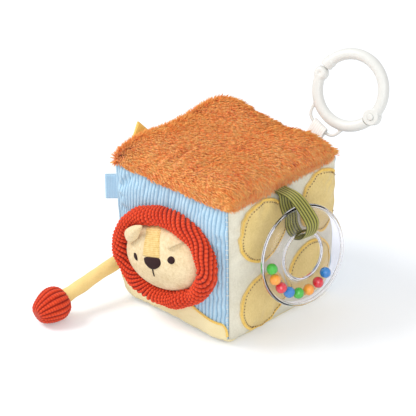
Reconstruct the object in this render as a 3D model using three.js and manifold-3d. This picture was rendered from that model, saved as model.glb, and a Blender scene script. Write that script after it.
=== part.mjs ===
// Soft fabric activity block for a baby: a stuffed cube of six sewn panels with a lion on its front,
// a bead rattle ring on a ribbon loop, a tail, two ribbon tags and a plastic hanging ring on a strap.
// Millimetres, +Z up. The origin is the middle of the flat bottom. The lion faces -Y and the dotted
// face with the rattle ring faces +X.

import * as THREE from "three";
import { mergeVertices } from "three/addons/utils/BufferGeometryUtils.js";
import Module from "manifold-3d";

const wasm = await Module();
wasm.setup();

// Fits shared by every piece
const seamGap = 0.3;
const runningGap = 0.3;
const overrun = 6;

// How finely round things are made
const rodSides = 16;
const domeSteps = 4;

// Block
const blockWidth = 105;
const blockDepth = 105;
const blockHeight = 105;
const blockFillet = 6;
const panelThickness = 2;
const sideCrown = 3;
const pileHeight = 8;
const topDome = 9;
const sidePower = 2.5;
const topPower = 6;
const gridShares = [0, 0.35, 0.7, 0.88, 0.96, 1];

// Patches
const patchThickness = 1.2;
const patchInset = 1.5;
const bodyLeftHeight = 27;
const bodyCrestX = -4;
const bodyCrestHeight = 40;
const bodyShoulderX = 47.5;
const bodyShoulderHeight = 18.8;
const bodyRightHeight = 12;
const bodySteps = 8;

// Mane and head
const maneCentreX = 1.5;
const maneCentreZ = 54.9;
const maneHalfWidth = 41.5;
const maneHalfHeight = 29.7;
const maneTubeRadial = 6.2;
const maneTubeDepth = 6.5;
const maneStand = 10;
const maneSteps = 40;
const maneSides = 10;
const headHalfWidth = 35.6;
const headHalfHeight = 23.8;
const headHalfDepth = 14;
const headStand = 8;
const headSides = 22;
const headRings = 12;
const faceRoll = 15.5;
const faceLayer = 0.9;

// Features of the face, from the middle of the head
const noseWidth = 14.5;
const noseHeight = 9.5;
const noseX = 0.6;
const noseZ = 0;
const noseCorner = 2.6;
const noseSteps = 4;
const eyeWidth = 5.6;
const eyeHeight = 7;
const eyeSpread = 17.8;
const eyeRise = 1.9;
const mouthWidth = 1.3;
const mouthLength = 6;
const stripeWidth = 15;
const stripeLength = 17;
const stripeGap = 1;
const earHalfWidth = 7.5;
const earHalfThickness = 5;
const earHalfHeight = 7;
const earSpread = 21.3;
const earRise = 16.2;
const earStand = 17.5;
const earSides = 12;
const earRings = 7;

// Dots on the cream face, as shares of the face's half width and of its height
const dotHalfWidth = 22.2;
const dotHalfHeight = 22;
const dotSteps = 32;
const dotPlaceShares = [
  [-0.392, 0.738],
  [0.72, 0.76],
  [-0.365, 0.215],
  [0.56, 0.262],
];

// Tail
const tailRootHeight = 26;
const tailRadius = 5;
const tailLength = 46.5;
const tailAzimuth = -95;
const tailSides = 16;
const tuftRadius = 11.8;
const tuftLength = 25;
const tuftSides = 20;

// Where a ribbon leaves a top seam: its angle round the seam, from the side panel
const seamRootAngle = 35;

// Ribbon tags
const tagThickness = 1.8;
const blueTagLength = 10;
const blueTagWidth = 18;
const blueTagDrop = 19.5;
const yellowTagLength = 21.5;
const yellowTagWidth = 19;
const yellowTagShoulder = 10;
const yellowTagSetBack = 25.5;
const yellowTagLean = 17;

// Rattle ring
const ringAzimuth = -8.5;
const ringTilt = 9;
const ringMeanRadius = 25.4;
const ringHalfWidth = 9;
const ringHalfThickness = 6.5;
const ringWall = 1.4;
const ringRim = 0.8;
const ringSteps = 30;
const ringSectionSteps = 6;
const beadDiameter = 7.7;
const beadTrackOffset = 0.9;
const beadSides = 10;
const beadRings = 6;
const beadAngles = [183.4, 201.6, 219.8, 237.6, 256, 276, 295.6, 314.5];
const beadFacetRoom = 0.25;
const beadColours = ["#58c35a", "#f5af35", "#d8293f", "#1f8fcf"];

// Ribbon loop of the rattle ring, and how the ring's top hangs from the loop's root
const loopWidth = 11;
const loopThickness = 1.1;
const loopRootY = -5.6;
const loopClearance = 2.2;
const loopFaceGap = 0.9;
const loopOuterOpening = 12.7;
const loopInnerOpening = 8.8;
const loopBulge = 13.5;
const loopBesideShares = [0.74, 0.92];
const loopHangOut = 14.2;
const loopHangAside = 5.6;
const loopHangDrop = 20;
const loopArcStep = 30;
const loopArcPoints = 8;
const loopSteps = 34;

// Strap of the hanging ring
const strapRootX = 24;
const strapWidth = 11.5;
const strapThickness = 1;
const strapClearance = 0.6;
const strapLength = 18.6;
const strapAzimuth = 82.3;
const strapElevation = 43;
const strapSteps = 26;

// Hanging ring
const clipAzimuth = -77.3;
const clipTilt = 21;
const clipMeanRadius = 24.8;
const clipHalfWidth = 4;
const clipHalfThickness = 3.6;
const clipHingeAngle = -36;
const clipSnapAngle = 151;
const clipSnapBoss = 5;
const clipSnapGap = 0.6;
const clipKnuckle = 5.8;
const clipPinRadius = 1.4;
const clipPinClearance = 0.3;
const clipPinHeadRadius = 2.4;
const clipPinHeadHeight = 0.5;
const clipCollarAngle = 14;
const clipCollarGrowth = 0.6;
const clipEyeAngle = 240;
const clipEyeStandOff = 9.4;
const clipEyeHalfBar = 7;
const clipEyeShoulder = 11.5;
const clipEyeHalfRoot = 15;
const clipEyeBar = 1.2;
const clipEyeSides = 8;
const clipSteps = 17;
const clipSides = 10;

const X = new THREE.Vector3(1, 0, 0);
const Y = new THREE.Vector3(0, 1, 0);
const Z = new THREE.Vector3(0, 0, 1);
const radians = THREE.MathUtils.degToRad;

// A vector from its three parts
function vec(x, y, z) {
  return new THREE.Vector3(x, y, z);
}

// The unit vector with this azimuth from +X and this elevation, in degrees
function heading(azimuth, elevation) {
  const a = radians(azimuth);
  const e = radians(elevation);
  return vec(Math.cos(a) * Math.cos(e), Math.sin(a) * Math.cos(e), Math.sin(e));
}

// The signed volume of a triangle list tells whether its faces point out
function signedVolume(points, triangles) {
  let total = 0;
  for (let i = 0; i < triangles.length; i += 3) {
    const [a, b, c] = [0, 1, 2].map((k) => points[triangles[i + k]]);
    total += a.dot(b.clone().cross(c)) / 6;
  }
  return total;
}

// A closed geometry from points and triangles, turned so that its faces point out
function closedGeometry(points, triangles) {
  const order = signedVolume(points, triangles) < 0 ? triangles.slice().reverse() : triangles;
  const geometry = new THREE.BufferGeometry();
  geometry.setAttribute("position", new THREE.Float32BufferAttribute(points.flatMap((p) => p.toArray()), 3));
  geometry.setIndex(order);
  return geometry;
}

// Joins rings of points into one closed skin, its ends either capped or joined to each other
function loft(rings, joined) {
  const sides = rings[0].length;
  const points = rings.flat();
  const triangles = [];
  const last = joined ? rings.length : rings.length - 1;
  for (let i = 0; i < last; i++) {
    for (let k = 0; k < sides; k++) {
      const a = i * sides + k;
      const b = i * sides + ((k + 1) % sides);
      const next = ((i + 1) % rings.length) * sides;
      const c = next + ((k + 1) % sides);
      const d = next + k;
      triangles.push(a, b, c, a, c, d);
    }
  }
  if (!joined) {
    for (const end of [0, rings.length - 1]) {
      const middle = points.length;
      const centre = rings[end].reduce((sum, p) => sum.add(p), vec(0, 0, 0)).divideScalar(sides);
      points.push(centre);
      for (let k = 0; k < sides; k++) {
        const a = end * sides + k;
        const b = end * sides + ((k + 1) % sides);
        triangles.push(...(end === 0 ? [middle, b, a] : [middle, a, b]));
      }
    }
  }
  return closedGeometry(points, triangles);
}

// A manifold solid from a closed three.js geometry
function solid(source) {
  const geometry = source.clone();
  geometry.deleteAttribute("normal");
  geometry.deleteAttribute("uv");
  const merged = mergeVertices(geometry);
  return new wasm.Manifold(new wasm.Mesh({
    numProp: 3,
    vertProperties: merged.attributes.position.array,
    triVerts: new Uint32Array(merged.index.array),
  }));
}

// A three.js geometry from a manifold solid
function geometryOf(shape) {
  const mesh = shape.getMesh();
  const geometry = new THREE.BufferGeometry();
  geometry.setAttribute("position", new THREE.BufferAttribute(new Float32Array(mesh.vertProperties), 3));
  geometry.setIndex(new THREE.BufferAttribute(new Uint32Array(mesh.triVerts), 1));
  return geometry;
}

// A cylinder along a given direction, centred on a given point
function rod(centre, direction, radius, length) {
  const geometry = new THREE.CylinderGeometry(radius, radius, length, rodSides);
  geometry.applyQuaternion(new THREE.Quaternion().setFromUnitVectors(Y, direction.clone().normalize()));
  geometry.translate(centre.x, centre.y, centre.z);
  return geometry;
}

// A flat outline in the plane of two directions, extruded both ways along the third
function prism(outline, centre, across, up, halfDepth) {
  const geometry = new THREE.ExtrudeGeometry(new THREE.Shape(outline), {
    depth: 2 * halfDepth,
    bevelEnabled: false,
  });
  geometry.translate(0, 0, -halfDepth);
  const out = across.clone().cross(up);
  geometry.applyMatrix4(new THREE.Matrix4().makeBasis(across, up, out));
  geometry.translate(centre.x, centre.y, centre.z);
  return geometry;
}

// Points of an ellipse in its own plane
function ellipse(halfWidth, halfHeight, steps) {
  return Array.from({ length: steps }, (_, i) => {
    const angle = (2 * Math.PI * i) / steps;
    return new THREE.Vector2(halfWidth * Math.cos(angle), halfHeight * Math.sin(angle));
  });
}

// Block: each face has a normal, a first and a second direction, a crown and the crown's power
const blockHalf = vec(blockWidth / 2, blockDepth / 2, blockHeight / 2);
const blockCentre = vec(0, 0, blockHeight / 2);
const faces = {
  top: { normal: Z, first: X, second: Y, crown: topDome, pile: pileHeight, power: topPower },
  bottom: { normal: Z.clone().negate(), first: Y, second: X, crown: 0, pile: 0, power: sidePower },
  right: { normal: X, first: Y, second: Z, crown: sideCrown, pile: 0, power: sidePower },
  left: { normal: X.clone().negate(), first: Z, second: Y, crown: sideCrown, pile: 0, power: sidePower },
  front: { normal: Y.clone().negate(), first: X, second: Z, crown: sideCrown, pile: 0, power: sidePower },
  back: { normal: Y, first: Z, second: X, crown: sideCrown, pile: 0, power: sidePower },
};

// The point of a face's skin at shares a and b of its half sizes, a given depth under the surface
function skinPoint(face, a, b, inset, pile) {
  const half = blockHalf.clone().subScalar(inset);
  const fillet = blockFillet - inset;
  const flat = face.normal.clone().addScaledVector(face.first, a).addScaledVector(face.second, b);
  const point = flat.multiply(half);
  const core = half.clone().subScalar(fillet);
  const inner = point.clone().clamp(core.clone().negate(), core);
  const rounded = inner.clone().add(point.sub(inner).normalize().multiplyScalar(fillet));
  const swell = (1 - Math.abs(a) ** face.power) * (1 - Math.abs(b) ** face.power);
  return rounded.addScaledVector(face.normal, (face.crown + pile) * swell).add(blockCentre);
}

// Grid lines across a face, close together near its edges, kept half a seam gap off the seams
const gridLines = [...gridShares.slice(1).reverse().map((share) => -share), ...gridShares];

// A square grid of skin points, as rows
function skinGrid(face, inset, pile, edgeGap) {
  const edge = 1 - edgeGap / Math.min(blockHalf.x, blockHalf.y, blockHalf.z);
  const lines = gridLines.map((line) => THREE.MathUtils.clamp(line, -edge, edge));
  return lines.map((b) => lines.map((a) => skinPoint(face, a, b, inset, pile)));
}

// Two triangles for each cell of a grid whose first point has the given number
function gridTriangles(first, size, flipped) {
  const triangles = [];
  for (let row = 0; row < size - 1; row++) {
    for (let column = 0; column < size - 1; column++) {
      const a = first + row * size + column;
      const [b, c, d] = [a + 1, a + size + 1, a + size];
      triangles.push(...(flipped ? [a, c, b, a, d, c] : [a, b, c, a, c, d]));
    }
  }
  return triangles;
}

// The numbers of a grid's border points, in order round it
function borderOf(size) {
  const steps = Array.from({ length: size - 1 }, (_, i) => i);
  const last = size - 1;
  return [
    ...steps,
    ...steps.map((i) => i * size + last),
    ...steps.map((i) => last * size + last - i),
    ...steps.map((i) => (last - i) * size),
  ];
}

// A sheet between two depths of one face's skin
function skinSheet(face, outerInset, innerInset, outerPile, edgeGap) {
  const outer = skinGrid(face, outerInset, outerPile, edgeGap);
  const inner = skinGrid(face, innerInset, 0, edgeGap);
  const size = outer.length;
  const points = [...outer.flat(), ...inner.flat()];
  const triangles = [...gridTriangles(0, size, false), ...gridTriangles(size * size, size, true)];
  const border = borderOf(size);
  border.forEach((a, i) => {
    const b = border[(i + 1) % border.length];
    triangles.push(a, a + size * size, b + size * size, a, b + size * size, b);
  });
  return closedGeometry(points, triangles);
}

// The whole block's skin at one depth, as one closed solid
function blockSolid(inset, withPile) {
  const points = [];
  const triangles = [];
  for (const face of Object.values(faces)) {
    const grid = skinGrid(face, inset, withPile ? face.pile : 0, 0);
    triangles.push(...gridTriangles(points.length, grid.length, false));
    points.push(...grid.flat());
  }
  return solid(closedGeometry(points, triangles));
}

const stuffing = geometryOf(blockSolid(panelThickness + seamGap, false));
const proudOfPatches = blockSolid(-(patchThickness + 2 * seamGap), true);

// The axis of a ribbon's or the tail's rolled root, which lies in the groove between two faces
function seamPivot(side, other, along, rootRadius, angle) {
  const corner = blockHalf.clone().subScalar(blockFillet);
  const reach = blockFillet + seamGap + rootRadius;
  const inSide = side.normal.clone().multiply(corner);
  const inOther = other.normal.clone().multiply(corner);
  return inSide.add(inOther)
    .addScaledVector(side.normal, reach * Math.cos(radians(angle)))
    .addScaledVector(other.normal, reach * Math.sin(radians(angle)))
    .add(blockCentre.clone().multiplyScalar(Math.abs(other.normal.z)))
    .add(along);
}

// Patches: the part of a thin sheet over a face that lies inside an outline
function patch(face, outline, centre) {
  const sheet = skinSheet(face, -(seamGap + patchThickness), -seamGap, 0, 2 * patchInset);
  const reach = Math.abs(face.normal.dot(blockHalf)) + face.crown + overrun;
  const cutter = prism(outline, centre, face.first, face.second, reach);
  return solid(sheet).intersect(solid(cutter));
}

// The lion's body: a low hill over the foot of the front face
function bodyOutline() {
  const side = blockHalf.x + overrun;
  const shape = new THREE.Shape();
  shape.moveTo(-side, -overrun);
  shape.lineTo(side, -overrun);
  shape.lineTo(side, bodyRightHeight);
  shape.lineTo(blockHalf.x - patchInset, bodyRightHeight);
  shape.lineTo(bodyShoulderX, bodyShoulderHeight);
  shape.quadraticCurveTo(bodyShoulderX / 2, bodyShoulderHeight, bodyCrestX, bodyCrestHeight);
  shape.quadraticCurveTo(-blockHalf.x / 2, bodyCrestHeight, -blockHalf.x, bodyLeftHeight);
  shape.lineTo(-side, bodyLeftHeight);
  return shape.getPoints(bodySteps).slice(0, -1);
}

// The lion looks out of the front face with its head rolled to one side
const faceAcross = vec(Math.cos(radians(faceRoll)), 0, Math.sin(radians(faceRoll)));
const faceUp = vec(-Math.sin(radians(faceRoll)), 0, Math.cos(radians(faceRoll)));

// Mane: an oval ring of fabric tube, its section a little deeper than wide
const maneCentre = vec(maneCentreX, -(blockHalf.y + maneStand), maneCentreZ);

function maneTube(grown) {
  const rings = Array.from({ length: maneSteps }, (_, i) => {
    const turn = (2 * Math.PI * i) / maneSteps;
    const [cos, sin] = [Math.cos(turn), Math.sin(turn)];
    const spine = maneCentre.clone().addScaledVector(faceAcross, maneHalfWidth * cos)
      .addScaledVector(faceUp, maneHalfHeight * sin);
    const out = faceAcross.clone().multiplyScalar(maneHalfHeight * cos)
      .addScaledVector(faceUp, maneHalfWidth * sin).normalize();
    return ellipse(maneTubeRadial + grown, maneTubeDepth + grown, maneSides)
      .map((p) => spine.clone().addScaledVector(out, p.x).addScaledVector(Y, p.y));
  });
  return solid(loft(rings, true));
}

const roomForMane = maneTube(seamGap);

// Head: a stuffed oval that fills the mane and swells out of it
const headCentre = vec(maneCentreX, -(blockHalf.y + headStand), maneCentreZ);

function ovoid(halfWidth, halfDepth, halfHeight, centre, sides, rings) {
  const geometry = new THREE.SphereGeometry(1, sides, rings);
  geometry.rotateX(Math.PI / 2);
  geometry.scale(halfWidth, halfDepth, halfHeight);
  geometry.rotateY(-radians(faceRoll));
  geometry.translate(centre.x, centre.y, centre.z);
  return solid(geometry);
}

function headShape(grown) {
  return ovoid(headHalfWidth + grown, headHalfDepth + grown, headHalfHeight + grown, headCentre,
    headSides, headRings);
}

// A place on the face, given across and up from the head's middle
function facePlace(across, up) {
  return headCentre.clone().addScaledVector(faceAcross, across).addScaledVector(faceUp, up);
}

// A thin layer on the front of the head inside an outline
function faceLayerPiece(outline, across, up) {
  const depth = headHalfDepth + overrun;
  const centre = facePlace(across, up).addScaledVector(Y, -depth);
  const cutter = solid(prism(outline, centre, faceAcross, faceUp, depth));
  const layer = headShape(seamGap + faceLayer).subtract(headShape(seamGap)).intersect(cutter);
  return geometryOf(layer.subtract(roomForMane));
}

function rectangle(width, height) {
  const corners = [[-1, -1], [1, -1], [1, 1], [-1, 1]];
  return corners.map(([i, k]) => new THREE.Vector2((i * width) / 2, (k * height) / 2));
}

// The nose: a triangle with its point down and its corners rounded
function noseOutline() {
  const half = noseWidth / 2 - noseCorner;
  const rise = noseHeight / 2 - noseCorner;
  const shape = new THREE.Shape();
  shape.absarc(half, rise, noseCorner, -Math.PI / 4, Math.PI / 2, false);
  shape.absarc(-half, rise, noseCorner, Math.PI / 2, (5 * Math.PI) / 4, false);
  shape.absarc(0, -rise, noseCorner, (5 * Math.PI) / 4, (7 * Math.PI) / 4, false);
  return shape.getPoints(noseSteps).slice(0, -1);
}

function eye(side) {
  const outline = ellipse(eyeWidth / 2, eyeHeight / 2, rodSides);
  return faceLayerPiece(outline, noseX + side * eyeSpread, noseZ + eyeRise);
}

function ear(side) {
  const centre = facePlace(side * earSpread, earRise).addScaledVector(Y, -(earStand - headStand));
  const body = ovoid(earHalfWidth, earHalfThickness, earHalfHeight, centre, earSides, earRings);
  return geometryOf(body.subtract(headShape(seamGap)).subtract(roomForMane));
}

const lionHead = headShape(0).subtract(roomForMane).subtract(proudOfPatches);

// A profile of points (radius, height) turned about its axis, which then lies along a direction
function turned(profile, sides, origin, direction) {
  const geometry = new THREE.LatheGeometry(profile, sides);
  geometry.applyQuaternion(new THREE.Quaternion().setFromUnitVectors(Y, direction));
  geometry.translate(origin.x, origin.y, origin.z);
  return geometryOf(solid(geometry));
}

// Tail: a stuffed cord with a round root and end, and a tuft that rests on the ground
const tailRoot = seamPivot(faces.left, faces.front, vec(0, 0, tailRootHeight), tailRadius, 45);
const tailRootRoom = tailRadius + seamGap;
const roomForTailRoot = ovoid(tailRootRoom, tailRootRoom, tailRootRoom, tailRoot, tailSides, 2 * domeSteps);
const tuftReach = tailLength + runningGap + tuftLength / 2;
const tailDrop = Math.asin((tailRoot.z - tuftRadius - runningGap) / tuftReach);
const tailDirection = heading(tailAzimuth, -THREE.MathUtils.radToDeg(tailDrop));

// Points of a stretch of an ellipse about a middle on the axis, as a profile to turn
function arc(radiusAcross, radiusAlong, middle, from, to, steps) {
  return Array.from({ length: steps + 1 }, (_, i) => {
    const angle = radians(from + ((to - from) * i) / steps);
    const across = Math.max(0, radiusAcross * Math.cos(angle));
    return new THREE.Vector2(across, middle + radiusAlong * Math.sin(angle));
  });
}

function tailTube() {
  const profile = [
    ...arc(tailRadius, tailRadius, 0, -90, 0, domeSteps),
    ...arc(tailRadius, tailRadius, tailLength - tailRadius, 0, 90, domeSteps),
  ];
  return turned(profile, tailSides, tailRoot, tailDirection);
}

function tailTuft() {
  const profile = arc(tuftRadius, tuftLength / 2, tuftLength / 2, -90, 90, 2 * domeSteps);
  const base = tailRoot.clone().addScaledVector(tailDirection, tailLength + runningGap);
  return turned(profile, tuftSides, base, tailDirection);
}

// A tag: a flat outline that stands on a rolled root, which is the axis it bends about
function tag(outline, root, across, up, width) {
  const points = outline.map(([a, b]) => new THREE.Vector2(a, b));
  const plate = solid(prism(points, root, across, up, tagThickness / 2));
  return geometryOf(plate.add(solid(rod(root, across, tagThickness / 2, width))));
}

const tagRadius = tagThickness / 2;
const blueTagAlong = vec(0, 0, blockHeight - blueTagDrop);
const blueTagRoot = seamPivot(faces.left, faces.front, blueTagAlong, tagRadius, 45);
const yellowTagAlong = vec(0, yellowTagSetBack - blockDepth / 2, 0);
const yellowTagRoot = seamPivot(faces.left, faces.top, yellowTagAlong, tagRadius, seamRootAngle);

function blueTag() {
  const half = blueTagWidth / 2;
  const outline = [
    [-half, 0],
    [half, 0],
    [half, blueTagLength],
    [-half, blueTagLength],
  ];
  return tag(outline, blueTagRoot, Z, heading(-135, 0), blueTagWidth);
}

function yellowTag() {
  const half = yellowTagWidth / 2;
  const outline = [
    [-half, 0],
    [half, 0],
    [half, yellowTagShoulder],
    [0, yellowTagLength],
    [-half, yellowTagShoulder],
  ];
  return tag(outline, yellowTagRoot, Y, heading(180, 90 - yellowTagLean), yellowTagWidth);
}

// A flat ribbon along a path, its width turning from one direction at its ends to another halfway
function ribbon(path, steps, endWidth, middleWidth, width, thickness) {
  const curve = new THREE.CatmullRomCurve3(path, false, "centripetal");
  const rings = curve.getSpacedPoints(steps).map((point, i) => {
    const tangent = curve.getTangentAt(i / steps);
    const share = 1 - Math.abs((2 * i) / steps - 1);
    const across = endWidth.clone().lerp(middleWidth, Math.min(1, 2 * share));
    across.addScaledVector(tangent, -across.dot(tangent)).normalize();
    const through = tangent.clone().cross(across);
    return [[1, 1], [-1, 1], [-1, -1], [1, -1]].map(([a, b]) => point.clone()
      .addScaledVector(across, (a * width) / 2)
      .addScaledVector(through, (b * thickness) / 2));
  });
  return solid(loft(rings, false));
}

// The three directions of a ring that stands with its face along a heading
function ringFrame(azimuth, tilt) {
  const normal = heading(azimuth, tilt);
  const across = Z.clone().cross(normal).normalize();
  return { normal, across, up: normal.clone().cross(across) };
}

// Ribbon loop and the rattle ring that hangs in it
const loopRootRadius = loopThickness + seamGap / 2;
const loopRoot = seamPivot(faces.right, faces.top, vec(0, loopRootY, 0), loopRootRadius, seamRootAngle);
const rattle = ringFrame(ringAzimuth, ringTilt);
const rattleTop = loopRoot.clone().add(vec(loopHangOut, loopHangAside, -loopHangDrop));
const rattleCentre = rattleTop.clone().addScaledVector(rattle.up, -ringMeanRadius);

function ringLoop() {
  const lift = ringHalfWidth + ringRim + loopClearance + loopThickness / 2;
  const strand = (loopThickness + seamGap) / 2;
  const standOff = seamGap + patchThickness + loopFaceGap + loopThickness / 2;
  const lean = (point) => {
    const share = THREE.MathUtils.clamp((loopRoot.z - point.z) / loopHangDrop, 0, 1);
    return point.setY(loopRoot.y + share * loopHangAside);
  };
  const round = Array.from({ length: loopArcPoints }, (_, i) => {
    const angle = radians(loopArcStep * (1 - i));
    const opening = Math.cos(angle) > 0 ? loopOuterOpening : loopInnerOpening;
    return rattleTop.clone().add(vec(opening * Math.cos(angle), 0, lift * Math.sin(angle)));
  });
  const beside = loopBesideShares.map((share) => skinPoint(faces.right, 0, share, -standOff, 0));
  const path = [
    loopRoot.clone().add(vec(0, 0, strand)),
    loopRoot.clone().add(vec(loopBulge, 0, -loopThickness)),
    ...round,
    ...beside,
    loopRoot.clone().add(vec(0, 0, -strand)),
  ].map(lean);
  const band = ribbon(path, loopSteps, Y, rattle.across, loopWidth, loopThickness);
  return geometryOf(band.add(solid(rod(loopRoot, Y, loopRootRadius, loopWidth))));
}

// One half of the ring's hollow shell, with its welding rims, in the ring's own frame
function rattleShell(side) {
  const inner = { width: ringHalfWidth - ringWall, depth: ringHalfThickness - ringWall };
  const seam = seamGap / 2;
  const bow = (width, depth, from, to) => Array.from({ length: ringSectionSteps + 1 }, (_, i) => {
    const angle = from + ((to - from) * i) / ringSectionSteps;
    return [width * Math.cos(angle), Math.max(seam, depth * Math.sin(angle))];
  });
  const outside = bow(ringHalfWidth, ringHalfThickness, 0, Math.PI);
  outside[0][1] = seam + ringRim;
  outside[ringSectionSteps][1] = seam + ringRim;
  const section = [
    [ringHalfWidth + ringRim, seam],
    [ringHalfWidth + ringRim, seam + ringRim],
    ...outside,
    [-ringHalfWidth - ringRim, seam + ringRim],
    [-ringHalfWidth - ringRim, seam],
    ...bow(inner.width, inner.depth, Math.PI, 0),
  ];
  const rings = Array.from({ length: ringSteps }, (_, i) => {
    const turn = (2 * Math.PI * i) / ringSteps;
    return section.map(([out, up]) => vec(
      (ringMeanRadius + out) * Math.cos(turn),
      (ringMeanRadius + out) * Math.sin(turn),
      side * up,
    ));
  });
  return loft(rings, true);
}

// The ring leans towards the block, so its beads lie against the back shell
function bead(degrees) {
  const radius = ringMeanRadius + beadTrackOffset;
  const offShare = beadTrackOffset / (ringHalfWidth - ringWall);
  const roomBehind = (ringHalfThickness - ringWall) * Math.sqrt(1 - offShare ** 2);
  const setBack = Math.max(0, roomBehind - beadDiameter / 2 - runningGap - beadFacetRoom);
  const geometry = new THREE.SphereGeometry(beadDiameter / 2, beadSides, beadRings);
  geometry.translate(radius * Math.cos(radians(degrees)), radius * Math.sin(radians(degrees)), -setBack);
  return geometryOf(solid(geometry));
}

// Hanging ring: its middle follows from the strap, in whose fold its eye hangs
const strapRootRadius = strapThickness + seamGap / 2;
const strapRoot = seamPivot(faces.back, faces.top, vec(strapRootX, 0, 0), strapRootRadius, seamRootAngle);
const strapDirection = heading(strapAzimuth, strapElevation);
const eyeCentre = strapRoot.clone().addScaledVector(strapDirection, strapLength);
const clip = ringFrame(clipAzimuth, clipTilt);
const eyeOut = clip.across.clone().multiplyScalar(Math.cos(radians(clipEyeAngle)))
  .addScaledVector(clip.up, Math.sin(radians(clipEyeAngle)));
const eyeAlong = clip.normal.clone().cross(eyeOut);
const clipEyeReach = clipMeanRadius + clipEyeStandOff;
const clipCentre = eyeCentre.clone().addScaledVector(eyeOut, -clipEyeReach);

function clipStrap() {
  const bend = clipEyeBar + strapClearance + strapThickness / 2;
  const strand = (strapThickness + seamGap) / 2;
  const through = strapDirection.clone().cross(eyeAlong).normalize();
  const rootThrough = strapDirection.clone().cross(X).normalize();
  const round = [90, 45, 0, -45, -90].map((degrees) => eyeCentre.clone()
    .addScaledVector(through, bend * Math.sin(radians(degrees)))
    .addScaledVector(strapDirection, bend * Math.cos(radians(degrees))));
  const waist = (side) => eyeCentre.clone().lerp(strapRoot, 1 / 2).addScaledVector(through, side * strand);
  const path = [
    strapRoot.clone().addScaledVector(rootThrough, strand),
    waist(1),
    ...round,
    waist(-1),
    strapRoot.clone().addScaledVector(rootThrough, -strand),
  ];
  const width = eyeAlong.clone().multiplyScalar(Math.sign(eyeAlong.x));
  const band = ribbon(path, strapSteps, X, width, strapWidth, strapThickness);
  return geometryOf(band.add(solid(rod(strapRoot, X, strapRootRadius, strapWidth))));
}

// The pieces of the hanging ring are made in its own frame, with the ring's face along its Z
function clipPoint(degrees, radius) {
  return vec(radius * Math.cos(radians(degrees)), radius * Math.sin(radians(degrees)), 0);
}

function clipArc(from, to, grown) {
  const rings = Array.from({ length: clipSteps + 1 }, (_, i) => {
    const degrees = from + ((to - from) * i) / clipSteps;
    return ellipse(clipHalfWidth + grown, clipHalfThickness + grown, clipSides)
      .map((p) => clipPoint(degrees, clipMeanRadius + p.x).setZ(p.y));
  });
  return solid(loft(rings, false));
}

const hingePoint = clipPoint(clipHingeAngle, clipMeanRadius);
const lapDepth = clipHalfThickness - runningGap / 2;

// One of the two half-thick discs that the hinge pin goes through
function knuckle(side) {
  const middle = hingePoint.clone().setZ((side * (runningGap + lapDepth)) / 2);
  return solid(rod(middle, Z, clipKnuckle, lapDepth));
}

function pinHole() {
  return solid(rod(hingePoint, Z, clipPinRadius + clipPinClearance, 2 * clipHalfThickness + overrun));
}

// The room that the other half's disc turns in
function lapRoom(side) {
  const middle = hingePoint.clone().setZ(side * clipHalfThickness);
  return solid(rod(middle, Z, clipKnuckle + runningGap, 2 * clipHalfThickness + runningGap));
}

function clipBody() {
  const gap = THREE.MathUtils.radToDeg(clipSnapGap / 2 / clipMeanRadius);
  const bossTurn = THREE.MathUtils.radToDeg((clipSnapBoss + clipSnapGap) / clipMeanRadius);
  const rootOut = Math.sqrt(clipMeanRadius ** 2 - clipEyeHalfRoot ** 2);
  const side = [
    [clipEyeHalfRoot, rootOut],
    [clipEyeShoulder, clipEyeReach - 2 * clipEyeBar],
    [clipEyeHalfBar, clipEyeReach],
  ];
  const bar = new THREE.CatmullRomCurve3([
    ...side.map(([along, out]) => [-along, out]),
    [0, clipEyeReach],
    ...side.slice().reverse(),
  ].map(([along, out]) => clipPoint(clipEyeAngle, out).add(clipPoint(clipEyeAngle + 90, along))));
  const eye = new THREE.ExtrudeGeometry(new THREE.Shape(ellipse(clipEyeBar, clipEyeBar, clipEyeSides)), {
    steps: clipSteps,
    extrudePath: bar,
    bevelEnabled: false,
  });
  const bossPoint = clipPoint(clipSnapAngle + bossTurn, clipMeanRadius);
  const boss = rod(bossPoint, Z, clipSnapBoss, 2 * clipHalfThickness);
  return geometryOf(clipArc(clipSnapAngle + gap, 360 + clipHingeAngle, 0)
    .add(solid(boss))
    .add(solid(eye))
    .subtract(lapRoom(1))
    .add(knuckle(-1))
    .subtract(pinHole()));
}

function clipGate() {
  const gap = THREE.MathUtils.radToDeg(clipSnapGap / 2 / clipMeanRadius);
  const end = clipSnapAngle - gap;
  return geometryOf(clipArc(clipHingeAngle, end, 0)
    .add(clipArc(end - clipCollarAngle, end, clipCollarGrowth))
    .subtract(lapRoom(-1))
    .add(knuckle(1))
    .subtract(pinHole()));
}

function clipHingePin() {
  const headLift = clipHalfThickness + runningGap + clipPinHeadHeight / 2;
  const head = (side) => {
    const middle = hingePoint.clone().setZ(side * headLift);
    return solid(rod(middle, Z, clipPinHeadRadius, clipPinHeadHeight));
  };
  const shank = solid(rod(hingePoint, Z, clipPinRadius, 2 * headLift));
  return geometryOf(shank.add(head(-1)).add(head(1)));
}

// Assembly
const toy = new THREE.Group();

function piece(parent, name, geometry, color, roughness) {
  const mesh = new THREE.Mesh(geometry, new THREE.MeshStandardMaterial({ color, roughness, metalness: 0 }));
  mesh.name = name;
  parent.add(mesh);
}

// A group whose own frame is a standing ring's
function ringGroup(frame, centre) {
  const group = new THREE.Group();
  group.quaternion.setFromRotationMatrix(new THREE.Matrix4().makeBasis(frame.across, frame.up, frame.normal));
  group.position.copy(centre);
  toy.add(group);
  return group;
}

function panel(face) {
  return skinSheet(face, 0, panelThickness, face.pile, seamGap);
}

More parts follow.
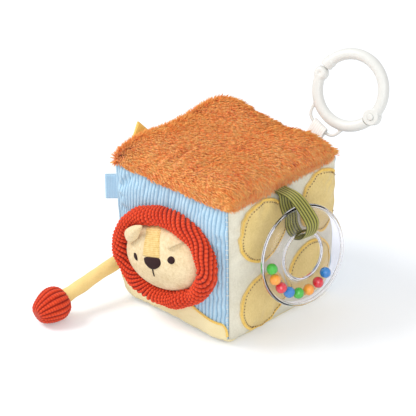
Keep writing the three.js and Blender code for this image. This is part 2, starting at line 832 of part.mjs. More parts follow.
piece(toy, "stuffing", stuffing, "#f4f1ea", 1);
piece(toy, "top_fur_panel", panel(faces.top), "#e28448", 1);
piece(toy, "bottom_panel", panel(faces.bottom), "#e9dfc0", 0.95);
piece(toy, "front_corduroy_panel", panel(faces.front), "#aecbe0", 0.95);
piece(toy, "back_panel", panel(faces.back), "#aecbe0", 0.95);
piece(toy, "left_panel", panel(faces.left), "#e8d7a4", 0.95);
piece(toy, "right_woven_panel", panel(faces.right), "#e0ded0", 0.95);

const lionBody = patch(faces.front, bodyOutline(), vec(0, 0, 0)).subtract(roomForTailRoot);
piece(toy, "lion_body_patch", geometryOf(lionBody), "#efdfa6", 0.95);
dotPlaceShares.forEach(([across, up], i) => {
  const centre = vec(0, across * blockHalf.y, up * blockHeight);
  const outline = ellipse(dotHalfWidth, dotHalfHeight, dotSteps);
  piece(toy, `dot_patch_${i + 1}`, geometryOf(patch(faces.right, outline, centre)), "#e2cb8a", 0.95);
});

piece(toy, "mane_ring", geometryOf(maneTube(0).subtract(proudOfPatches)), "#e04a28", 0.95);
piece(toy, "lion_head", geometryOf(lionHead), "#f0e2b6", 0.95);
piece(toy, "lion_ear_left", ear(-1), "#f0e2b6", 0.95);
piece(toy, "lion_ear_right", ear(1), "#f0e2b6", 0.95);
piece(toy, "nose_patch", faceLayerPiece(noseOutline(), noseX, noseZ), "#2e1718", 0.7);
piece(toy, "eye_left", eye(-1), "#241314", 0.6);
piece(toy, "eye_right", eye(1), "#241314", 0.6);
piece(toy, "mouth_stitch", faceLayerPiece(rectangle(mouthWidth, mouthLength), noseX,
  noseZ - (noseHeight + mouthLength) / 2 - runningGap), "#2e1718", 0.7);
piece(toy, "forehead_stripe", faceLayerPiece(rectangle(stripeWidth, stripeLength), noseX,
  noseZ + (noseHeight + stripeLength) / 2 + stripeGap), "#f2d27c", 0.9);

piece(toy, "tail_tube", tailTube(), "#ebcd82", 0.95);
piece(toy, "tail_tuft", tailTuft(), "#e04a28", 0.95);
piece(toy, "blue_tag", blueTag(), "#a5c8de", 0.9);
piece(toy, "yellow_tag", yellowTag(), "#ecc76a", 0.9);
piece(toy, "ring_loop", ringLoop(), "#7f8440", 0.85);

const rattleGroup = ringGroup(rattle, rattleCentre);
piece(rattleGroup, "rattle_shell_front", rattleShell(1), "#e8ecef", 0.05);
piece(rattleGroup, "rattle_shell_back", rattleShell(-1), "#e8ecef", 0.05);
beadAngles.forEach((degrees, i) => {
  piece(rattleGroup, `bead_${i + 1}`, bead(degrees), beadColours[i % beadColours.length], 0.25);
});

piece(toy, "clip_strap", clipStrap(), "#f3f2ee", 0.9);
const clipGroup = ringGroup(clip, clipCentre);
piece(clipGroup, "clip_body", clipBody(), "#f1efe7", 0.35);
piece(clipGroup, "clip_gate", clipGate(), "#f1efe7", 0.35);
piece(clipGroup, "clip_hinge_pin", clipHingePin(), "#f1efe7", 0.35);

export default toy;
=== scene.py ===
import math

import bpy
import numpy as np
from mathutils import Matrix, Vector

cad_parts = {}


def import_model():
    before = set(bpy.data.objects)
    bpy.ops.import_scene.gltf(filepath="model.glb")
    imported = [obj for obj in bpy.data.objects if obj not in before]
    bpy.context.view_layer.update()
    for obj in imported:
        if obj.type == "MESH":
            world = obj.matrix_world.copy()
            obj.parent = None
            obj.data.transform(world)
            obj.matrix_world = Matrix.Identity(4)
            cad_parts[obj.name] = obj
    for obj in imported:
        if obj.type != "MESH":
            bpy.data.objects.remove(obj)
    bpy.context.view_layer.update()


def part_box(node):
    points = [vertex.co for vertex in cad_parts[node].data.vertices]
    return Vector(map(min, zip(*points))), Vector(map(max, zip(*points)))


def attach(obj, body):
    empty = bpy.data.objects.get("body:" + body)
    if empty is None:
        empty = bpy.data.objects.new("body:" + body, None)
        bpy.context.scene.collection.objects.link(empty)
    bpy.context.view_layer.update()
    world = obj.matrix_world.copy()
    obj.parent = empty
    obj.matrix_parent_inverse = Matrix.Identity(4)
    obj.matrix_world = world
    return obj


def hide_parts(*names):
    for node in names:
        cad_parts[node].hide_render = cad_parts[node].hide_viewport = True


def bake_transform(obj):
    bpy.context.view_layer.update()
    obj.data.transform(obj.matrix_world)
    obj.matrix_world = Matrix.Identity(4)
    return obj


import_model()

MM = 0.001
SEED = 7
X, Y, Z = np.eye(3)


# Vectors

def unit(vectors):
    return vectors / np.linalg.norm(vectors, axis=-1, keepdims=True)


def heading(azimuth, elevation):
    """The unit vector with this azimuth from +X and this elevation, in degrees."""
    a, e = math.radians(azimuth), math.radians(elevation)
    return np.array([math.cos(a) * math.cos(e), math.sin(a) * math.cos(e), math.sin(e)])


def ease(x, low, high):
    """0 below low, 1 above high and a smooth step between."""
    t = np.clip((x - low) / (high - low), 0, 1)
    return t * t * (3 - 2 * t)


def full_turn(count):
    return np.linspace(0, 2 * math.pi, count, endpoint=False)


def circle(count, first=(1, 0), second=(0, 1)):
    """Points of a unit circle that starts in one direction and turns towards another."""
    turn = full_turn(count)[:, None]
    return np.cos(turn) * first + np.sin(turn) * second


def wobble(x, y, seed):
    """A smooth, uneven wave of two coordinates, from about -1 to 1."""
    draws = np.random.default_rng(seed)
    total = 0
    for _ in range(5):
        turn = draws.uniform(0, 2 * math.pi)
        pace = draws.uniform(0.6, 1.7)
        start = draws.uniform(0, 2 * math.pi)
        total = total + np.sin(pace * (x * math.cos(turn) + y * math.sin(turn)) + start)
    return total / 3


def evenly(points, count):
    """The polyline resampled to a number of points, evenly along its length."""
    steps = np.linalg.norm(np.diff(points, axis=0), axis=1)
    along = np.concatenate([[0], np.cumsum(steps)])
    places = np.linspace(0, along[-1], count)
    return np.stack([np.interp(places, along, column) for column in points.T], axis=1)


def smooth_path(points, count, closed=False):
    """Evenly spaced points of a centripetal spline through the given ones."""
    points = np.array(points, float)
    if closed:
        points = np.vstack([points, points[:1]])
        ends = [points[-2], points[1]]
    else:
        ends = [2 * points[0] - points[1], 2 * points[-1] - points[-2]]
    knots = np.vstack([ends[0], points, ends[1]])
    fine = []
    for p0, p1, p2, p3 in zip(knots, knots[1:], knots[2:], knots[3:]):
        t0 = 0.0
        t1 = t0 + np.linalg.norm(p1 - p0) ** 0.5
        t2 = t1 + np.linalg.norm(p2 - p1) ** 0.5
        t3 = t2 + np.linalg.norm(p3 - p2) ** 0.5
        t = np.linspace(t1, t2, 24, endpoint=False)[:, None]

        def between(p, q, start, end):
            return (end - t) / (end - start) * p + (t - start) / (end - start) * q

        a1, a2, a3 = between(p0, p1, t0, t1), between(p1, p2, t1, t2), between(p2, p3, t2, t3)
        fine.append(between(between(a1, a2, t0, t2), between(a2, a3, t1, t3), t1, t2))
    return evenly(np.vstack([*fine, points[-1:]]), count)


# Meshes

def place(name, data):
    made = bpy.data.objects.new(name, data)
    bpy.context.scene.collection.objects.link(made)
    return made


def make_mesh(name, points, faces, uv=None):
    mesh = bpy.data.meshes.new(name)
    points = np.asarray(points, float).reshape(-1, 3)
    mesh.from_pydata(points.tolist(), [], [tuple(face) for face in faces])
    if uv is not None:
        layer = mesh.uv_layers.new(name="UVMap")
        corners = np.zeros(len(mesh.loops), int)
        mesh.loops.foreach_get("vertex_index", corners)
        layer.data.foreach_set("uv", np.asarray(uv, float).reshape(-1, 2)[corners].ravel())
    mesh.polygons.foreach_set("use_smooth", [True] * len(mesh.polygons))
    mesh.update()
    return place(name, mesh)


def grid_faces(rows, columns, first=0, flip=False, wrap_rows=False, wrap_columns=False):
    """Four-sided faces between neighbouring rows and columns of a grid of points."""
    faces = []
    for r in range(rows if wrap_rows else rows - 1):
        for c in range(columns if wrap_columns else columns - 1):
            here, next_row = first + r * columns, first + (r + 1) % rows * columns
            beside = (c + 1) % columns
            a, b, d, e = here + c, here + beside, next_row + c, next_row + beside
            faces.append((a, d, e, b) if flip else (a, b, e, d))
    return faces


def sheet_mesh(name, outer, inner, uv):
    """A closed sheet between two grids of points of the same size."""
    rows, columns = outer.shape[:2]
    count = rows * columns
    faces = grid_faces(rows, columns) + grid_faces(rows, columns, count, flip=True)
    border = [*range(columns - 1), *range(columns - 1, count - 1, columns)]
    border += [*range(count - 1, count - columns, -1), *range(count - columns, 0, -columns)]
    for a, b in zip(border, border[1:] + border[:1]):
        faces.append((b, a, a + count, b + count))
    points = np.concatenate([outer.reshape(-1, 3), inner.reshape(-1, 3)])
    return make_mesh(name, points, faces, np.concatenate([uv.reshape(-1, 2)] * 2))


def ring_mesh(name, rings, uv=None, joined=False):
    """A skin over rings of points, its ends closed by fans unless they are joined to each other."""
    rings = np.asarray(rings)
    count, sides = rings.shape[:2]
    faces = grid_faces(count, sides, wrap_rows=joined, wrap_columns=True)
    points = rings.reshape(-1, 3)
    if uv is None:
        turn, along = np.meshgrid(np.arange(sides) / sides, np.arange(count) / count)
        uv = np.stack([turn, along], axis=-1)
    uv = uv.reshape(-1, 2)
    for end in () if joined else (0, count - 1):
        middle = len(points)
        points = np.vstack([points, rings[end].mean(axis=0)])
        uv = np.vstack([uv, uv[end * sides:(end + 1) * sides].mean(axis=0)])
        for k in range(sides):
            a, b = end * sides + k, end * sides + (k + 1) % sides
            faces.append((middle, a, b) if end else (middle, b, a))
    piece = make_mesh(name, points, faces, uv)
    turn_outwards(piece)
    return piece


def turn_outwards(piece):
    """Turns every face of a closed mesh outwards."""
    corners = [vertex.co for vertex in piece.data.vertices]
    volume = 0.0
    for face in piece.data.polygons:
        first, *rest = [corners[number] for number in face.vertices]
        for second, third in zip(rest, rest[1:]):
            volume += first.dot(second.cross(third))
    if volume < 0:
        piece.data.flip_normals()


def mark(mesh, name, values, kind="FLOAT"):
    """Gives each point of a mesh a number or a vector that a material or a node tree reads."""
    layer = mesh.attributes.new(name, kind, "POINT")
    key = "value" if kind == "FLOAT" else "vector"
    layer.data.foreach_set(key, np.asarray(values, np.float32).ravel())


def modify(piece, kind, **settings):
    modifier = piece.modifiers.new(kind.lower(), kind)
    for key, value in settings.items():
        setattr(modifier, key, value)
    return modifier


def settle(piece, name=None):
    """Replaces an object by the plain mesh that its modifiers make."""
    name = name or piece.name
    shown = piece.evaluated_get(bpy.context.evaluated_depsgraph_get())
    mesh = bpy.data.meshes.new_from_object(shown)
    bpy.data.objects.remove(piece)
    mesh.name = name
    return place(name, mesh)


# Node trees

class Wire:
    """A node's output, which adds, subtracts and multiplies like a number."""

    def __init__(self, socket):
        self.socket = socket

    def __add__(self, other):
        return maths("ADD", self, other)

    def __sub__(self, other):
        return maths("SUBTRACT", self, other)

    def __rsub__(self, other):
        return maths("SUBTRACT", other, self)

    def __mul__(self, other):
        return maths("MULTIPLY", self, other)


def feed(node, inputs):
    """Gives a node's inputs their values, or links them to other nodes' outputs."""
    for key, value in inputs.items():
        if isinstance(value, Wire):
            node.id_data.links.new(value.socket, node.inputs[key])
        else:
            node.inputs[key].default_value = value
    return node


def add(tree, kind, inputs=None, **settings):
    """Adds a node with its settings by name."""
    made = tree.nodes.new(kind)
    for key, value in settings.items():
        setattr(made, key, value)
    return feed(made, inputs or {})


def wires(node):
    """A node's outputs by name."""
    return {socket.name: Wire(socket) for socket in node.outputs}


def wire(tree, kind, inputs=None, output=0, **settings):
    """Adds a node and gives one of its outputs."""
    return Wire(add(tree, kind, inputs, **settings).outputs[output])


def maths(operation, *values):
    tree = next(value.socket.id_data for value in values if isinstance(value, Wire))
    return wire(tree, "ShaderNodeMath", dict(enumerate(values)), operation=operation)


def vector_maths(operation, *values, output=0):
    tree = next(value.socket.id_data for value in values if isinstance(value, Wire))
    inputs = dict(enumerate(values))
    if operation == "SCALE":
        inputs = {0: values[0], "Scale": values[1]}
    return wire(tree, "ShaderNodeVectorMath", inputs, output, operation=operation)


def noise(tree, vector, scale, detail):
    inputs = {"Vector": vector, "Scale": scale, "Detail": detail}
    return wire(tree, "ShaderNodeTexNoise", inputs)


def attribute(tree, name):
    return wire(tree, "ShaderNodeAttribute", None, "Fac", attribute_name=name)


def mix_colour(tree, factor, first, second):
    return wire(tree, "ShaderNodeMix", {0: factor, 6: first, 7: second}, 2, data_type="RGBA")


def mix_shader(tree, factor, first, second):
    return wire(tree, "ShaderNodeMixShader", {0: factor, 1: first, 2: second})


def new_group(name, kind, inputs, outputs):
    """A node group with its outputs and its named inputs, each of a kind and a first value."""
    tree = bpy.data.node_groups.new(name, kind)
    for label, (kind, value) in inputs.items():
        socket = tree.interface.new_socket(
            label, in_out="INPUT", socket_type="NodeSocket" + kind)
        if value is not None:
            socket.default_value = value
    for label, kind in outputs.items():
        tree.interface.new_socket(label, in_out="OUTPUT", socket_type="NodeSocket" + kind)
    return tree, wires(tree.nodes.new("NodeGroupInput")), tree.nodes.new("NodeGroupOutput")


def mottled_dye_and_shade():
    """Fabric that is a little lighter and darker from place to place, and darker by its Shade
    input: painted shade in most fabrics, a random tone in thread.
    """
    tree, given, end = new_group("Mottled Dye", "ShaderNodeTree", {
        "Light": ("Color", (1, 1, 1, 1)),
        "Dark": ("Color", (0.5, 0.5, 0.5, 1)),
        "Vector": ("Vector", None),
        "Scale": ("Float", 60.0),
        "Fine Scale": ("Float", 1500.0),
        "Shade": ("Float", 0.0),
    }, {"Color": "Color"})
    wide = noise(tree, given["Vector"], given["Scale"], 3.0)
    fine = noise(tree, given["Vector"], given["Fine Scale"], 2.0)
    level = wide * 0.9 + fine * 0.8 - 0.55 + given["Shade"]
    feed(end, {"Color": mix_colour(tree, level, given["Light"], given["Dark"])})
    return tree


def plain_weave():
    """A plain weave on a map in metres: how high each thread stands and where the gaps are."""
    tree, given, end = new_group("Plain Weave", "ShaderNodeTree", {
        "Vector": ("Vector", None),
        "Threads": ("Float", 1400.0),
        "Slub": ("Float", 0.35),
    }, {"Height": "Float", "Gap": "Float"})
    parts = wires(add(tree, "ShaderNodeSeparateXYZ", {0: given["Vector"]}))
    waves = [maths("SINE", parts[way] * given["Threads"] * math.pi) for way in "XY"]
    cross = maths("ABSOLUTE", waves[0] * waves[1])
    uneven = (noise(tree, given["Vector"], 420.0, 4.0) - 0.5) * given["Slub"]
    feed(end, {"Height": cross + uneven, "Gap": 0.6 - cross})
    return tree


def short_nap():
    """The short, uneven nap of velour and corduroy."""
    tree, given, end = new_group("Short Nap", "ShaderNodeTree", {
        "Vector": ("Vector", None),
        "Scale": ("Float", 1800.0),
    }, {"Height": "Float"})
    clumps = wire(tree, "ShaderNodeTexVoronoi", {key: given[key] for key in ("Vector", "Scale")})
    feed(end, {"Height": noise(tree, given["Vector"], given["Scale"], 4.0) - clumps * 0.5})
    return tree


DYE_AND_SHADE, WEAVE, NAP = mottled_dye_and_shade(), plain_weave(), short_nap()


def group(tree, kind, inputs):
    """A group's outputs, for a tree that uses it."""
    return wires(add(tree, "ShaderNodeGroup", inputs, node_tree=kind))


# Materials

def colour(screen):
    """A colour from its 0 to 255 screen values."""
    shares = [value / 255 for value in screen]
    return (*[s / 12.92 if s <= 0.04045 else ((s + 0.055) / 1.055) ** 2.4 for s in shares], 1.0)


def new_material(name, **settings):
    """A material, its tree, its surface with some settings, and the coordinates of its points."""
    material = bpy.data.materials.new(name)
    material.use_nodes = True
    tree = material.node_tree
    inputs = {key.replace("_", " "): value for key, value in settings.items()}
    surface = feed(tree.nodes["Principled BSDF"], inputs)
    return material, tree, surface, wires(add(tree, "ShaderNodeTexCoord"))


def dye_shade_and_relief(surface, places, light, dark, scale, height, strength, distance, **more):
    """Gives a surface its mottled, dyed colour, darkened by painted shade from its shade value and
    in its valleys, and its relief, whose distance is in millimetres.
    """
    tree, valley, fine = surface.id_data, more.get("valley"), more.get("fine", 1500.0)
    shaded_dye = group(tree, DYE_AND_SHADE, {
        "Light": light, "Dark": dark, "Vector": places["Object"], "Scale": scale,
        "Fine Scale": fine, "Shade": more.get("shade", 0.0),
    })["Color"]
    # Painted shade: the valleys between ribs take a darker colour.
    if valley:
        shaded_dye = mix_colour(tree, attribute(tree, "valley"), shaded_dye, colour(valley))
    bump = {"Height": height, "Strength": strength, "Distance": distance * MM}
    feed(surface, {"Base Color": shaded_dye, "Normal": wire(tree, "ShaderNodeBump", bump)})


def cloth(name, light, dark, bump, scale, texture="nap", mottle=60.0, fine=1500.0, sheen=0.25,
          rough=0.92, valley=None):
    """Fabric: a mottled, dyed colour over a nap or a weave, with painted shade in the hollows of
    the nap or the gaps of the weave, and in the valleys of a ribbed one.
    """
    material, tree, surface, places = new_material(
        name, Roughness=rough, Sheen_Weight=sheen, Sheen_Roughness=0.5, Specular_IOR_Level=0.15)
    # Painted shade: darker in the gaps of a weave or the hollows of a nap.
    if texture == "weave":
        relief = group(tree, WEAVE, {"Vector": places["UV"], "Threads": scale})
        shade = relief["Gap"] * 0.5
    else:
        relief = group(tree, NAP, {"Vector": places["Object"], "Scale": scale})
        shade = (0.25 - relief["Height"]) * 0.5
    dye_shade_and_relief(surface, places, colour(light), colour(dark), mottle, relief["Height"], 0.6, bump,
           fine=fine, shade=shade, valley=valley)
    return material


def ribbed_cloth(name, light, dark, ribs, bump, along="Y", across="X"):
    """Ribbon: fine ribs across its length over a mottled, dyed colour, with painted shade where the
    ribs are low.
    """
    material, tree, surface, places = new_material(
        name, Roughness=0.75, Sheen_Weight=0.2, Specular_IOR_Level=0.25)
    parts = wires(add(tree, "ShaderNodeSeparateXYZ", {0: places["UV"]}))
    wave = maths("SINE", parts[along] * (ribs * 2 * math.pi))
    cross = maths("SINE", parts[across] * (ribs * 2.6 * math.pi))
    height = wave * 0.5 + cross * 0.25
    # Painted shade: darker where the ribs are low.
    dye_shade_and_relief(surface, places, colour(light), colour(dark), 90.0, height, 0.7, bump,
           shade=height * -0.5)
    return material


def thread(name, light, dark, rough=0.55, sheen=0.1):
    """Embroidery thread: a slight gloss and a tone of its own for each stitch."""
    material, tree, surface, places = new_material(
        name, Roughness=rough, Sheen_Weight=sheen, Specular_IOR_Level=0.25)
    nap = group(tree, NAP, {"Vector": places["Object"], "Scale": 5200.0})["Height"]
    dye_shade_and_relief(surface, places, colour(light), colour(dark), 300.0, nap, 0.35, 0.1,
           shade=attribute(tree, "tone") * 0.6)
    return material


def fur_material():
    """Pile: painted shade makes it dark at its roots and lighter at its tips, each lock with its
    own tone.
    """
    material, tree, surface, places = new_material(
        "Orange pile", Roughness=0.7, Sheen_Weight=0.3, Specular_IOR_Level=0.2)
    drawn = vector_maths("MULTIPLY", places["Object"], (0.35, 1.0, 1.0))
    patches = noise(tree, places["Object"], 75.0, 3.0)
    streaks = noise(tree, drawn, 430.0, 1.0)
    # Painted shade: each lock is darker towards its root, by its tip value.
    level = attribute(tree, "tone") * 0.6 + attribute(tree, "tip") * 0.65
    level = level + (patches - 0.72) * 0.8 + (streaks - 0.42) * 1.2
    ramp = add(tree, "ShaderNodeValToRGB", {"Fac": level})
    shades = ramp.color_ramp.elements
    shades.new(0.36)
    for shade, position, screen in zip(
            shades, (0.02, 0.36, 1.0), ((214, 78, 20), (255, 148, 66), (255, 192, 110))):
        shade.position = position
        shade.color = colour(screen)
    feed(surface, {"Base Color": Wire(ramp.outputs["Color"])})
    return material


def moulded(name, screen, rough, coat):
    """Moulded plastic: nearly even, with a faint grain in its gloss."""
    tint = colour(screen)
    material, tree, surface, places = new_material(name, Coat_Weight=coat)
    grain = noise(tree, places["Object"], 160.0, 3.0)
    gloss = {"Value": grain, "To Min": rough - 0.06, "To Max": rough + 0.06}
    feed(surface, {"Roughness": wire(tree, "ShaderNodeMapRange", gloss)})
    darker = (*[share * 0.88 for share in tint[:3]], 1.0)
    dye_shade_and_relief(surface, places, tint, darker, 45.0, grain, 0.2, 0.02, fine=300.0)
    return material


def clear_plastic():
    """Clear styrene: bends the light a little, and its shadow is pale."""
    material, tree, surface, places = new_material(
        "Clear plastic", Base_Color=(0.945, 0.94, 0.965, 1), Roughness=0.02, IOR=1.42,
        Specular_Tint=(0.3, 0.3, 0.34, 1), Transmission_Weight=1.0)
    waves = noise(tree, places["Object"], 38.0, 2.0)
    bump = {"Height": waves, "Strength": 0.12, "Distance": 0.4 * MM}
    feed(surface, {"Normal": wire(tree, "ShaderNodeBump", bump)})
    passing = wire(tree, "ShaderNodeBsdfTransparent", {"Color": (0.9, 0.9, 0.9, 1)})
    shadow = wires(add(tree, "ShaderNodeLightPath"))["Is Shadow Ray"]
    mixed = mix_shader(tree, shadow, Wire(surface.outputs[0]), passing)
    feed(tree.nodes["Material Output"], {"Surface": mixed})
    return material


SKINS = {
    "fur": fur_material(),
    # The valley colours below are painted shade deep between the ribs.
    "blue_corduroy": cloth("Blue corduroy", (194, 221, 236), (146, 184, 208), 0.4,
                           1100.0, fine=700.0, valley=(134, 176, 204)),
    "red_corduroy": cloth("Red ribbed plush", (245, 88, 48), (194, 38, 20), 0.5,
                          1000.0, fine=700.0, sheen=0.15, valley=(128, 18, 8)),
    "cream_weave": cloth("Cream weave", (240, 235, 216), (204, 198, 176), 0.2,
                         1300.0, "weave", fine=800.0),
    "yellow_weave": cloth("Pale yellow weave", (244, 218, 150), (208, 178, 106), 0.2,
                          1300.0, "weave", fine=800.0),
    "tail_weave": cloth("Yellow plush", (244, 219, 148), (221, 188, 112), 0.25, 1500.0),
    "velour": cloth("Cream velour", (238, 219, 180), (194, 163, 108), 0.45,
                    900.0, mottle=80.0, fine=520.0, sheen=0.1),
    "body_velour": cloth("Pale yellow velour", (244, 230, 184), (226, 206, 150), 0.22,
                         1500.0),
    "blue_ribbon": ribbed_cloth("Blue ribbon", (178, 212, 234), (140, 180, 208), 900, 0.08),
    "yellow_ribbon": ribbed_cloth("Yellow ribbon", (246, 212, 120), (216, 168, 62), 800, 0.1,
                                  along="X", across="Y"),
    "olive_ribbon": cloth("Olive grosgrain", (196, 190, 102), (146, 142, 60), 0.15,
                          2400.0, "weave", rough=0.7, valley=(36, 40, 4)),
    "white_ribbon": cloth("White ribbon", (250, 249, 247), (240, 238, 234), 0.12,
                          2600.0, "weave", rough=0.7, valley=(236, 232, 224)),
    "fibre": cloth("White fibre", (246, 244, 240), (224, 222, 218), 0.6, 700.0),
    "stripe_weave": cloth("Forehead weave", (240, 214, 148), (196, 148, 60), 0.35,
                          800.0, "weave", fine=480.0),
    "dark_thread": thread("Dark brown thread", (48, 22, 22), (26, 8, 8), 0.7, 0.0),
    "yellow_thread": thread("Yellow thread", (250, 218, 128), (234, 190, 86)),
    # Painted shade: the needle holes are small dark marks of shade.
    "needle_hole_shade": thread("Shaded needle holes", (128, 80, 22), (96, 60, 14)),
    "cream_thread": thread("Cream thread", (236, 238, 234), (206, 212, 212)),
    "clear_plastic": clear_plastic(),
    "white_plastic": moulded("White plastic", (224, 224, 219), 0.38, 0.1),
    "green_plastic": moulded("Green plastic", (44, 186, 22), 0.1, 0.8),
    "orange_plastic": moulded("Orange plastic", (255, 160, 0), 0.1, 0.8),
    "red_plastic": moulded("Red plastic", (222, 0, 32), 0.1, 0.8),
    "blue_plastic": moulded("Blue plastic", (0, 126, 202), 0.1, 0.8),
}


def dress(piece, skin_name, body, *nodes, blend=None):
    """Gives a finished piece its material, puts it on its body and hides the CAD nodes it stands
    for.
    A blended piece is baked where it stands instead of being put on its body."""
    piece.data.materials.clear()
    piece.data.materials.append(SKINS[skin_name])
    if blend:
        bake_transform(piece)
    else:
        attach(piece, body)
    if nodes:
        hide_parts(*nodes)
    return piece


# Pile and stitches

def chance(tree, low, high, seed):
    """A random number of its own for each copy."""
    inputs = {2: low, 3: high, "Seed": seed}
    return wire(tree, "FunctionNodeRandomValue", inputs, 1, data_type="FLOAT")


def facing(tree, out, along):
    """The rotation that stands a shape up out of a surface, with its X laid along."""
    return wire(tree, "FunctionNodeAxesToRotation", {"Primary Axis": out, "Secondary Axis": along},
                primary_axis="Z", secondary_axis="X")


def turned(tree, rotation, axis, angle):
    """A rotation with a further turn about one of the shape's own axes."""
    more = wire(tree, "FunctionNodeAxisAngleToRotation", {"Axis": axis, "Angle": angle})
    return wire(tree, "FunctionNodeRotateRotation", {"Rotation": rotation, "Rotate By": more},
                rotation_space="LOCAL")


def copies(tree, end, points, shape, rotation, scale, seed, material):
    """Puts copies of a shape on points, each with a tone of its own, as one plain mesh."""
    model = wire(tree, "GeometryNodeObjectInfo", {"Object": shape}, "Geometry")
    placed = wire(tree, "GeometryNodeInstanceOnPoints", {
        "Points": points, "Instance": model, "Rotation": rotation, "Scale": scale})
    tone = {"Geometry": placed, "Name": "tone", "Value": chance(tree, 0.0, 1.0, seed)}
    toned = wire(tree, "GeometryNodeStoreNamedAttribute", tone,
                 data_type="FLOAT", domain="INSTANCE")
    real = wire(tree, "GeometryNodeRealizeInstances", {"Geometry": toned})
    finished = {"Geometry": real, "Material": material}
    feed(end, {"Geometry": wire(tree, "GeometryNodeSetMaterial", finished)})


def pile_tree():
    """Locks of pile spread over a surface, laid over towards one side."""
    tree, given, end = new_group("Pile locks", "GeometryNodeTree", {
        "Geometry": ("Geometry", None),
        "Lock": ("Object", None),
        "Density": ("Float", 1e6),
        "Nap": ("Vector", (1, 0, 0)),
        "Turn": ("Float", 0.5),
        "Shortest": ("Float", 0.7),
        "Longest": ("Float", 1.2),
        "Seed": ("Int", 0),
        "Material": ("Material", None),
    }, {"Geometry": "Geometry"})
    spread = wires(add(tree, "GeometryNodeDistributePointsOnFaces", {
        "Mesh": given["Geometry"], "Density": given["Density"], "Seed": given["Seed"]}))
    normal = spread["Normal"]
    rise = vector_maths("DOT_PRODUCT", given["Nap"], normal, output="Value")
    lie = vector_maths("SUBTRACT", given["Nap"], vector_maths("SCALE", normal, rise))
    swirl = noise(tree, wire(tree, "GeometryNodeInputPosition"), 70.0, 1.0)
    random_turn = chance(tree, given["Turn"] * -1.0, given["Turn"], 1)
    turn = (swirl - 0.5) * (given["Turn"] * 4.0) + random_turn
    rotation = turned(tree, facing(tree, normal, lie), (0, 0, 1), turn)
    rotation = turned(tree, rotation, (0, 1, 0), chance(tree, -0.3, 0.12, 2))
    size = chance(tree, given["Shortest"], given["Longest"], 3)
    copies(tree, end, spread["Points"], given["Lock"], rotation, size, 4, given["Material"])
    return tree


def stitch_tree():
    """Stitches at an even pitch along a line that carries the way out of the fabric."""
    tree, given, end = new_group("Stitches along a line", "GeometryNodeTree", {
        "Geometry": ("Geometry", None),
        "Stitch": ("Object", None),
        "Pitch": ("Float", 0.001),
        "Size": ("Vector", (1, 1, 1)),
        "Slant": ("Float", 0.0),
        "Unevenness": ("Float", 0.1),
        "Material": ("Material", None),
    }, {"Geometry": "Geometry"})
    line = wire(tree, "GeometryNodeMeshToCurve", {"Mesh": given["Geometry"]})
    spaced = wire(tree, "GeometryNodeResampleCurve", {"Curve": line, "Length": given["Pitch"]},
                  mode="LENGTH")
    out = wire(tree, "GeometryNodeInputNamedAttribute", {"Name": "out"}, data_type="FLOAT_VECTOR")
    rotation = facing(tree, out, wire(tree, "GeometryNodeInputTangent"))
    slant, uneven = given["Slant"], given["Unevenness"]
    rotation = turned(tree, rotation, (0, 0, 1), chance(tree, slant - uneven, slant + uneven, 5))
    size = vector_maths("SCALE", given["Size"], chance(tree, 1.0 - uneven, uneven + 1.0, 6))
    copies(tree, end, spaced, given["Stitch"], rotation, size, 7, given["Material"])
    return tree


PILE, STITCHES = pile_tree(), stitch_tree()


def grow(piece, tree, values, name):
    """Runs a geometry tree on an object with values for its inputs, and keeps the plain mesh."""
    modifier = modify(piece, "NODES", node_group=tree)
    for socket in tree.interface.items_tree:
        if socket.item_type == "SOCKET" and socket.in_out == "INPUT" and socket.name in values:
            modifier[socket.identifier] = values[socket.name]
    return settle(piece, name)


def thread_shape():
    """One stitch, from -1 to 1 along Y, 2 wide along X and arched to 1 along Z."""
    rings = []
    for y in np.linspace(-1, 1, 7):
        thick = max(0.25, (1 - abs(y) ** 3) ** 0.5)
        rings.append(thick * circle(6, X, 0.5 * Z) + y * Y + 0.5 * (1 - y * y) * Z)
    return ring_mesh("stitch_shape", rings)


LOCK_STEP = 2.9 * MM
LOCK_LEANS = np.radians([40, 60, 74, 82])
LOCK_RADII = np.array([0.34, 0.38, 0.3, 0.0]) * MM


def lock_shape():
    """One three-sided lock of pile that bends over towards +X and thins to a point."""
    root = np.zeros(3)
    points, tips = [], []
    for k, (lean, radius) in enumerate(zip(LOCK_LEANS, LOCK_RADII)):
        if k:
            root = root + LOCK_STEP * np.array([math.sin(lean), 0, math.cos(lean)])
        side_way = np.array([math.cos(lean), 0, -math.sin(lean)])
        ring = root + radius * circle(3, side_way, Y) if radius else [root]
        points += list(ring)
        tips += [k / 3] * len(ring)
    faces = grid_faces(3, 3, wrap_columns=True) + [(2, 1, 0)]
    faces += [(6 + k, 6 + (k + 1) % 3, 9) for k in range(3)]
    piece = make_mesh("lock_shape", points, faces)
    turn_outwards(piece)
    mark(piece.data, "tip", tips)
    return piece


THREAD, LOCK = thread_shape(), lock_shape()


def stitches(name, line, pitch, size, skin_name, slant=0.2, unevenness=0.1):
    """A row of stitches along points given with their ways out. The size is each stitch's width
    along the row, its length across it and its height."""
    points, outs = line
    mesh = bpy.data.meshes.new(name)
    mesh.from_pydata(points.tolist(), [(k, k + 1) for k in range(len(points) - 1)], [])
    mark(mesh, "out", outs, "FLOAT_VECTOR")
    width, length, height = size
    made = grow(place(name + "_line", mesh), STITCHES, {
        "Stitch": THREAD,
        "Pitch": pitch,
        "Size": (width / 2, length / 2, height),
        "Slant": slant,
        "Unevenness": unevenness,
        "Material": SKINS[skin_name],
    }, name)
    dress(made, skin_name, "block")


# Block

